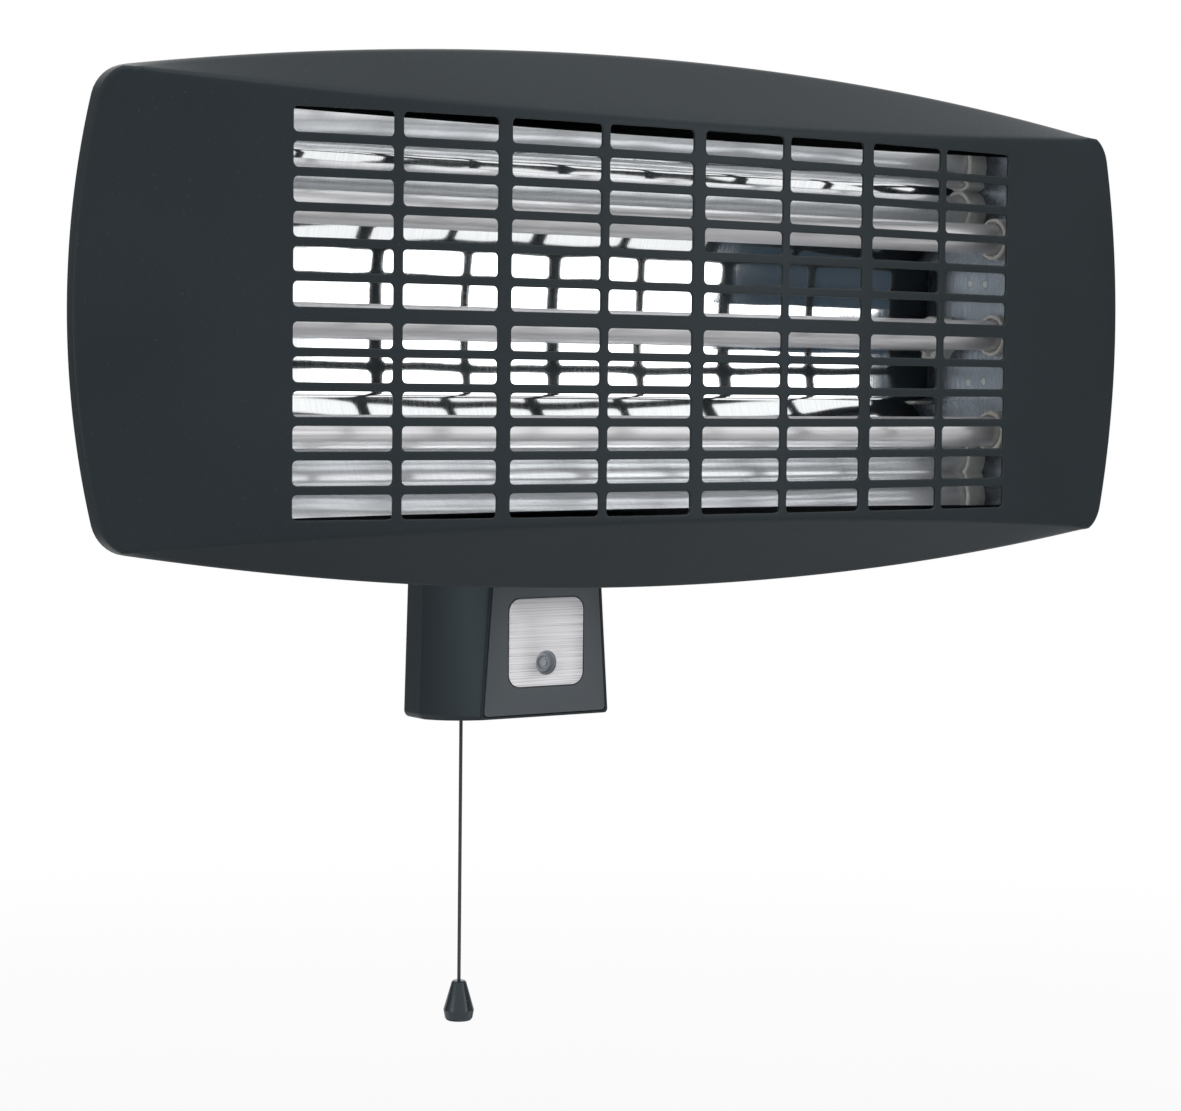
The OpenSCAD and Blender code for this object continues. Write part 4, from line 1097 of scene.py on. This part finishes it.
@dataclass(frozen=True)
class RearHousing:
    """Tub behind the cover: a flange, walls that taper back, a soft rear edge and vent slots."""

    shape: HeadShape
    flange: float = 1.5
    neck: float = 4.0
    squeeze: float = 0.97
    half_w: float = 196.0
    half_h: float = 58.0
    corner: float = 24.0
    back: float = 88.0
    wall: float = 1.2
    soft: float = 3.0
    vent_w: float = 5.0
    vent_h: float = 34.0
    vent_pitch: float = 22.0
    vent_first: float = 66.0
    vent_count: int = 6
    vent_rows: tuple[float, float] = (-28.0, 28.0)

    def outline(self, inset: float) -> Array:
        """Head's outline, one point for each point of the rear wall's outline."""
        u = np.linspace(0, 1, 13)
        parts = [self.shape.rim(np.zeros(6), Arc.SIDE, inset)]
        parts += [self.shape.rim(u[1:], arc, inset) for arc in Arc]
        parts.append(self.shape.rim(np.ones(6), Arc.ARCH, inset))
        return mirrored_loop(np.concatenate(parts))

    def wall_outline(self, inset: float) -> Array:
        """Rounded rectangle of the rear wall, matched to the head's outline by direction."""
        w, h, r = self.half_w - inset, self.half_h - inset, self.corner - inset
        t = np.linspace(0, 1, 7)[:-1, None]
        u = np.linspace(0, 1, 13)[1:]
        first, second = self.shape.side_end, self.shape.arch_end
        turn = np.concatenate([u * first, first + u * (second - first), second + u * (math.pi / 2 - second)])
        side = np.hstack([np.full((6, 1), w), t * (h - r)])
        bend = np.column_stack([w - r + r * np.cos(turn), h - r + r * np.sin(turn)])
        top = np.hstack([(w - r) * (1 - t[1:]), np.full((5, 1), h)])
        quarter = np.concatenate([side, bend, top, [[0.0, h]]])
        return mirrored_loop(quarter)

    def ring(self, share: float, inset: float, y: float) -> Array:
        """Ring between the neck and the rear wall's outline, both drawn in by inset."""
        front = self.outline(self.neck + inset) * np.array([self.squeeze, 1.0])
        return upright(front * (1 - share) + self.wall_outline(inset) * share, y)

    def vents(self) -> list[Array]:
        """Outlines (x, z) of the vent slots: two rows on each side."""
        w, h, r = self.vent_w / 2, self.vent_h / 2, self.vent_w / 2 - 0.1
        a = np.radians(np.arange(0, 360, 15) + 7.5)
        slot = np.column_stack([np.sign(np.cos(a)) * (w - r) + r * np.cos(a),
                                np.sign(np.sin(a)) * (h - r) + r * np.sin(a)])
        places = self.vent_first + self.vent_pitch * np.arange(self.vent_count)
        return [slot + np.array([side * x, z]) for side in (-1, 1) for x in places for z in self.vent_rows]

    def build(self, finishes: Finishes) -> None:
        """Makes the tub in place of its node."""
        shape, front, back = self.shape, self.shape.rim_back, self.back
        edge = self.outline(self.flange)
        turn = np.radians([0, 22.5, 45, 67.5, 90])
        soft = self.soft
        depths = np.linspace(front, back - soft, 8)
        share = (depths - front) / (back - front)
        last = share[-1]
        outer = [self.ring(v, 0.0, y) for v, y in zip(share, depths)]
        outer += [self.ring(last + (1 - last) * math.sin(a), soft * (1 - math.cos(a)),
                            back - soft + soft * math.sin(a)) for a in turn[1:]]
        inner = [self.ring(1.0, soft + 0.2, back - self.wall)]
        inner += [self.ring(v, self.wall, y) for v, y in zip(share[::-1], depths[::-1] - 0.4)]
        inner[-1][:, 1] = front - self.wall
        rows = [upright(edge, front - self.wall + 0.15), upright(edge, front), *outer]
        inside_lip = [inner[-1], upright(self.outline(self.flange + 0.15), front - self.wall), rows[0]]
        surface = Surface()
        for rings in (rows, inner, inside_lip):
            surface.grid(shape.place(np.stack(rings)), wrap_cols=True)
        vents = self.vents()
        for ring, y in ((outer[-1], back), (inner[0], back - self.wall)):
            surface.sheet([shape.place(ring)] + [shape.place(upright(v, y)) for v in vents])
        through = np.stack([[upright(v, back), upright(v, back - self.wall)] for v in vents])
        surface.grid(shape.place(through), wrap_cols=True)
        finishes.settle(surface.make("rear_tub", 35.0), Body.HEAD, "black_housing", "rear_housing")


@dataclass(frozen=True)
class LinkCable:
    """Cable between the wall box and the head: one smooth bend in a plane of constant X."""

    x: float = -33.2
    radius: float = 3.0
    bend: tuple[tuple[float, float], ...] = ((-6.0, 40.5), (-6.0, 72.0), (-18.0, 80.0), (-55.0, 80.0))

    def build(self, finishes: Finishes) -> None:
        """Carries a circle along a cubic curve."""
        t = np.linspace(0, 1, 60)[:, None]
        b = [np.array(p) for p in self.bend]
        flat = (1 - t) ** 3 * b[0] + 3 * (1 - t) ** 2 * t * b[1] + 3 * (1 - t) * t**2 * b[2] + t**3 * b[3]
        path = np.column_stack([np.full(len(t), self.x), flat])
        piece = wrapped(tube_along(path, self.radius, 28, (1, 0, 0)), caps=True).make("link_flex", 60.0)
        piece.data.materials.append(finishes.of("rubber"))
        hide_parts("link_cable")
        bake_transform(piece)
        LOG.info("link_flex bends between %s and %s", Body.BOX.value, Body.HEAD.value)


@dataclass(frozen=True)
class Trough:
    """Polished reflector: a trough of sheet with soft folds, slightly wavy as bent sheet is."""

    shape: HeadShape
    folds: tuple[tuple[float, float, float], ...] = (
        (17.5, 70.0, 0.0), (32.8, 58.9, 10.0), (43.0, 40.4, 14.0), (48.3, 27.3, 2.0), (49.1, 9.4, 20.0))
    end: float = 178.0
    sheet: float = 0.8
    wave: float = 0.02
    waves: tuple[tuple[float, float, float, float], ...] = (
        (0.9, 41, 52, 0.3), (0.6, 83, 37, 1.9), (0.5, 59, -61, 4.0), (0.25, 23, 29, 2.2),
        (0.5, 130, -90, 5.1))
    sag: float = 1.4
    lip_from: float = 61.0
    lip_reach: float = 9.0
    girth: float = 176.0
    across: int = 220
    stations: int = 100

    def section(self) -> Array:
        """Folded section (y, z) from the upper front edge round to the lower one, evenly sampled."""
        lower = tuple((y, -z, r) for y, z, r in reversed(self.folds))
        line = filleted(self.folds + lower, 60)
        far = np.concatenate([[0.0], np.cumsum(np.linalg.norm(np.diff(line, axis=0), axis=1))])
        even = np.linspace(0, far[-1], self.across)
        return np.column_stack([np.interp(even, far, line[:, 0]), np.interp(even, far, line[:, 1])])

    def skin(self, off: float) -> Array:
        """Grid of the sheet's inner or outer skin.

        The section is carried along X. A sum of crossed sine waves, each with its share, its lengths along
        X and round the section, and its phase, moves it square to itself. The front edges sag towards the
        middle of the length by a parabola.

        Args:
            off: Distance outwards from the inner skin.
        """
        line = self.section()
        ahead = np.gradient(line, axis=0)
        ahead /= np.linalg.norm(ahead, axis=1, keepdims=True)
        out = np.column_stack([-ahead[:, 1], ahead[:, 0]])
        x = np.linspace(-self.end, self.end, self.stations)[:, None]
        s = np.linspace(0, self.girth, self.across)[None, :]
        move = self.wave * sum(a * np.sin(2 * math.pi * (x / lx + s / ls) + p) for a, lx, ls, p in self.waves)
        place = line[None] + (move + off)[..., None] * out[None]
        lip = np.clip((np.abs(line[:, 1]) - self.lip_from) / self.lip_reach, 0, 1) * np.sign(line[:, 1])
        level = place[..., 1] - self.sag * lip[None] * (1 - (x / self.end) ** 2)
        return np.stack([np.broadcast_to(x, level.shape), place[..., 0], level], axis=-1)

    def build(self, finishes: Finishes) -> None:
        """Joins both skins at the sheet's edges and ends."""
        rows = np.concatenate([self.skin(0.0), self.skin(self.sheet)[:, ::-1]], axis=1)
        surface = wrapped(self.shape.place(rows))
        for row in (rows[0], rows[-1]):
            surface.grid(self.shape.place(np.stack([row[:self.across], row[:self.across - 1:-1]])))
        finishes.settle(surface.make("reflector_trough", 60.0), Body.HEAD, "reflector_sheet", "reflector")


@dataclass(frozen=True)
class QuartzTubes:
    """Three quartz tubes with a ceramic cap at each end."""

    shape: HeadShape
    levels: tuple[float, float, float] = (37.7, -1.3, -40.3)
    deep: float = 30.0
    half: float = 175.0
    outer: float = 6.0
    bore: float = 4.75
    mouth: float = 168.7
    plate: float = 178.0
    neck: float = 189.0
    names: tuple[str, str, str] = ("top", "middle", "bottom")

    def tube(self, z: float) -> Surface:
        """One tube: outer and inner wall with softly fused ends, turned round X."""
        r, b, h = self.outer, self.bore, self.half
        outside = filleted([(b, -h, 0), (r, -h, 0.5), (r, h, 0.5), (b, h, 0)], 4)
        split = len(outside) // 2
        body = np.column_stack([np.full(40, r), np.linspace(-h + 2, h - 2, 40)])
        profile = np.concatenate([outside[:split], body, outside[split:], [[b, h], [b, -h]]])
        return wrapped(self.shape.place(turned(profile, Axis.X, (0, self.deep, z), 40)))

    def caps(self, side: int) -> Surface:
        """Three caps of one side: a drum with a rounded rim, a stepped mouth and a neck behind."""
        m, p, n, seat = self.mouth, self.plate, self.neck, self.half + 0.2
        profile = filleted([(1.7, n, 0), (6.0, n, 0.8), (6.0, p, 0), (8.5, p, 0.3), (8.5, m, 1.1),
                            (6.9, m, 0.5), (6.8, m + 2.5, 0.2), (6.15, m + 2.5, 0.2), (6.15, seat, 0),
                            (1.7, seat, 0), (1.7, n, 0)], 5)
        profile[:, 1] *= side
        rings = np.stack([turned(profile, Axis.X, (0, self.deep, z), 56) for z in self.levels])
        return wrapped(self.shape.place(rings))

    def build(self, finishes: Finishes) -> None:
        """Makes tubes and caps, each in place of its node."""
        for name, z in zip(self.names, self.levels):
            finishes.settle(self.tube(z).make(f"{name}_quartz"), Body.HEAD, "quartz", f"{name}_quartz_tube")
        for name, side in (("left", -1), ("right", 1)):
            finishes.settle(self.caps(side).make(f"{name}_caps"), Body.HEAD, "ceramic", f"{name}_tube_caps")


# The wall box


@dataclass(frozen=True)
class WallBox:
    """Front shell, grey panel, brushed plate and lamp of the wall box. Millimetres."""

    top: float = 40.0
    low: float = -46.8
    seam: float = -12.0
    front: float = -40.0
    low_w: float = 82.8
    high_w: float = 78.6
    rise: float = 2.0
    fall: float = 1.0
    panel_low: float = 57.6
    panel_high: float = 45.8
    panel_foot: float = -43.6
    panel_head: float = 37.6
    wall: float = 2.5
    plate: float = 35.0
    plate_z: float = -15.0
    lamp_z: float = -23.3
    lamp_r: float = 4.85
    soft: float = 0.6

    def section(self, t: float, inset: float, y: float | None = None) -> Array:
        """Ring of the shell at a share t of its depth: the sides draw in by a shallow parabola.

        Close to the front the ring draws in further by a quarter circle, the soft front edge.

        Args:
            t: 0 at the seam and 1 at the front.
            inset: Distance inside the outer skin.
            y: Depth, where it isn't the flare's own.

        Returns:
            Ring of shape (n, 3).
        """
        share = 1.5 * (1 - t) - 0.5 * (1 - t) ** 2
        low = self.panel_low + 2.4 + (self.low_w - self.panel_low - 2.4) * share - 2 * inset
        high = self.panel_high + 2.4 + (self.high_w - self.panel_high - 2.4) * share - 2 * inset
        deep = self.seam - (self.seam - self.front - inset * 1.4) * t
        gap = deep - (self.front + inset * 1.4)
        short = max(0.0, self.soft - gap)
        draw = self.soft - math.sqrt(max(0.0, self.soft**2 - short**2)) if short else 0.0
        ring = trapezoid(low - 2 * draw, high - 2 * draw, self.low + self.rise * (1 - share) + inset + draw,
                         self.top - self.fall * (1 - share) - inset - draw, 3 - 1.4 * t - inset * 0.4)
        return upright(ring, deep if y is None else y)

    def panel_ring(self, grow: float, y: float) -> Array:
        """Outline of the grey panel, made larger by grow."""
        return upright(trapezoid(self.panel_low + 2 * grow - 0.4, self.panel_high + 2 * grow,
                                 self.panel_foot - grow, self.panel_head + grow, 1.6), y)

    def lamp_ring(self, like: Array, radius: float, y: float) -> Array:
        """Circle of the lamp hole, with one point towards each point of another ring."""
        way = np.column_stack([like[:, 0], like[:, 2] - self.lamp_z])
        way /= np.linalg.norm(way, axis=1, keepdims=True)
        return np.column_stack([way[:, 0] * radius, np.full(len(way), y), way[:, 1] * radius + self.lamp_z])

    def shell(self) -> Surface:
        """Front shell: flare, front edge, recess, lamp hole, then the inside back to the seam."""
        turn = np.radians(np.linspace(0, 90, 6))
        near = 1 - self.soft * (1 - np.sin(turn)) / (self.seam - self.front)
        outer = [self.section(t, 0.0) for t in np.concatenate([np.linspace(0, 1, 18)[:-1], near])]
        outer[0] = outer[0] - np.array([0.0, 0.05, 0.0])
        seam = self.section(0.0, 0.35, self.seam - 0.05)
        recess = [self.panel_ring(grow, self.front + deep)
                  for grow, deep in ((0.5, 0.05), (0.3, 0.12), (0.2, 0.35), (0.2, 2.0))]
        hole = [self.lamp_ring(recess[-1], self.lamp_r + 0.3, self.front + deep) for deep in (2.0, 3.5)]
        inner = [self.section(t, self.wall) for t in (1, 0.97, 0.8, 0.6, 0.4, 0.2, 0)]
        return wrapped(np.stack([seam, *outer, *recess, *hole, *inner]), wrap_rows=True)

    def panel(self) -> Surface:
        """Grey panel: rounded edge, shallow seat for the plate and the lamp hole, closed behind."""
        y = self.front - 0.3
        rim = [self.panel_ring(0.0, self.front + 2.0), self.panel_ring(0.0, y + 0.5),
               self.panel_ring(-0.12, y + 0.15), self.panel_ring(-0.5, y)]
        seat = self.plate_ring(0.5, y)
        floor = seat + np.array([0.0, 1.0, 0.0])
        hole = [self.lamp_ring(seat, self.lamp_r, self.front + deep) for deep in (0.7, 2.0)]
        return wrapped(np.stack([*rim, seat, floor, *hole]), wrap_rows=True)

    def plate_ring(self, grow: float, y: float) -> Array:
        """Outline of the plate, a rounded square, made larger by grow."""
        side = self.plate + 2 * grow
        return upright(trapezoid(side, side, self.plate_z - self.plate / 2 - grow,
                                 self.plate_z + self.plate / 2 + grow, 5 + grow), y)

    def metal_plate(self) -> Surface:
        """Brushed plate with a softly broken edge, a round hole and a flat back."""
        y, back = self.front - 0.5, self.front + 0.7
        rings = [self.plate_ring(grow, level)
                 for grow, level in ((0.0, back), (0.0, y + 0.22), (-0.08, y + 0.06), (-0.25, y))]
        hole = [self.lamp_ring(rings[-1], r, level)
                for r, level in ((self.lamp_r + 0.2, y), (self.lamp_r, y + 0.15), (self.lamp_r, back))]
        return wrapped(np.stack([*rings, *hole]), wrap_rows=True)

    def lens(self) -> Surface:
        """Lamp lens: a cup that lines the hole, with a raised ring in its middle, turned round Y."""
        f = self.front
        profile = filleted([(0, f + 1.6, 0), (1.5, f + 1.6, 0.15), (1.7, f + 1.1, 0.15), (2.3, f + 1.0, 0.2),
                            (2.5, f + 1.9, 0.3), (3.9, f + 2.2, 0.6), (4.35, f + 0.2, 0.15),
                            (4.7, f + 0.2, 0.1), (4.7, f + 3.5, 0), (0, f + 3.5, 0)], 4)
        return wrapped(turned(profile, Axis.Y, (0, 0, self.lamp_z), 48))

    def build(self, finishes: Finishes) -> None:
        """Makes the four pieces in place of their nodes."""
        for surface, name, slot, node in (
                (self.shell(), "front_shell_moulding", "black_moulding", "box_front_shell"),
                (self.panel(), "grey_front_panel", "grey_panel", "front_panel"),
                (self.metal_plate(), "brushed_square_plate", "brushed_plate", "metal_plate"),
                (self.lens(), "pilot_lens", "lamp_clear", "lamp_lens")):
            finishes.settle(surface.make(name), Body.BOX, slot, node)


@dataclass(frozen=True)
class PullCord:
    """Pull cord with its knob and bush. Millimetres."""

    x: float = -22.0
    y: float = -12.0
    drop: tuple[float, ...] = (-46.8, -52, -60, -68, -76, -84, -92, -100, -108, -116, -124, -132, -140,
                               -147, -153.4)
    thick: float = 1.4
    strand: float = 0.0011
    knob_h: float = 16.0
    knob_r: float = 6.3

    def cord(self) -> Piece:
        """Tube along the drop, with a map of its turn and length for the strands."""
        z = np.linspace(self.drop[0], self.drop[-1], 108)
        path = np.column_stack([np.full(len(z), self.x), np.full(len(z), self.y), z])
        rings = tube_along(path, self.thick / 2, 12, (1, 0, 0))
        piece = wrapped(rings, caps=True).make("braided_pull_cord", 60.0)
        mesh = piece.data
        corner = np.zeros(len(mesh.loops), np.int32)
        mesh.loops.foreach_get("vertex_index", corner)
        spots = np.zeros(len(mesh.vertices) * 3, np.float32)
        mesh.vertices.foreach_get("co", spots)
        spots = spots.reshape(-1, 3)[corner]
        turn = np.arctan2(spots[:, 1] - self.y * MM, spots[:, 0] - self.x * MM) / (2 * math.pi)
        layer = mesh.uv_layers.new(name="strand")
        strands = np.column_stack([turn * 4, spots[:, 2] / self.strand])
        layer.data.foreach_set("uv", strands.astype(np.float32).ravel())
        return piece

    def knob(self) -> Piece:
        """Knob: a slim cone from a small flat top down to a broad shoulder, turned round Z."""
        t, h, r = self.drop[-1], self.knob_h, self.knob_r
        profile = filleted([(0, t, 0), (2.4, t, 0.3), (2.95, t - 0.5, 0.5), (r - 0.1, t - h + 4.2, 1.1),
                            (r - 0.7, t - h + 0.9, 0.8), (r - 1.4, t - h, 0.4), (0, t - h, 0)], 5)
        return wrapped(turned(profile, Axis.Z, (self.x, self.y, 0), 56)).make("pull_knob", 50.0)

    def bush(self) -> Piece:
        """Bush: a thin collar below the box's floor, a neck through it and a flange inside."""
        z = self.drop[0]
        profile = filleted([(1.0, z - 0.7, 0.25), (3.5, z - 0.7, 0.4), (3.5, z, 0), (2.9, z, 0),
                            (2.9, z + 2.7, 0), (4.0, z + 2.7, 0), (4.0, z + 3.9, 0.3), (1.0, z + 3.9, 0.2),
                            (1.0, z - 0.7, 0)], 4)
        return wrapped(turned(profile, Axis.Z, (self.x, self.y, 0), 40)).make("cord_collar")

    def build(self, finishes: Finishes) -> None:
        knob = finishes.settle(self.knob(), Body.CORD, "knob_black", "cord_knob")
        cord = finishes.settle(self.cord(), Body.CORD, "cord_black", "pull_cord")

    def build_bush(self, finishes: Finishes) -> None:
        """Makes the bush in the box's floor."""
        finishes.settle(self.bush(), Body.BOX, "black_moulding", "cord_bush")


@dataclass(frozen=True)
class ReturnSpring:
    """Coil spring below the switch slider, made at its rest length; the real one shortens as the cord is
    pulled. Millimetres.
    """

    x: float = -22.0
    y: float = -12.0
    foot: float = -28.3
    head: float = -16.7
    coil: float = 2.2
    wire: float = 0.3
    turns: float = 6.0
    travel: float = 8.0
    rings: int = 241

    def build(self, finishes: Finishes) -> None:
        """Winds circles of the wire's radius along a helix round Z."""
        turn = np.linspace(0, 2 * math.pi * self.turns, self.rings)[:, None]
        up = np.linspace(0, 1, self.rings)[:, None]
        about = np.linspace(0, 2 * math.pi, 10, endpoint=False)[None, :]
        reach = self.coil + self.wire * np.cos(about)
        rise = self.head - self.foot - 2 * self.wire
        level = self.foot + self.wire + rise * up + self.wire * np.sin(about)
        rings = np.stack([self.x + reach * np.cos(turn), self.y + reach * np.sin(turn), level], axis=-1)
        coil = wrapped(rings, caps=True).make("return_coil", 60.0)
        piece = finishes.settle(coil, Body.BOX, "zinc_steel", "return_spring")
        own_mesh(piece)


def main() -> None:
    """Builds the studio and every piece of the heater in order."""
    logging.basicConfig(level=logging.INFO, format="%(name)s %(message)s")
    scene = bpy.context.scene
    scene.view_settings.view_transform = "Standard"
    studio = Studio()
    studio.camera()
    finishes = Finishes()
    cord = PullCord()
    cord.build(finishes)
    shape = HeadShape()
    FrontCover(shape).build(finishes)
    RearHousing(shape).build(finishes)
    Trough(shape).build(finishes)
    QuartzTubes(shape).build(finishes)
    WallBox().build(finishes)
    cord.build_bush(finishes)
    ReturnSpring().build(finishes)
    LinkCable().build(finishes)
    finishes.dress_frame()
    studio.build()


if __name__ == "__main__":
    main()
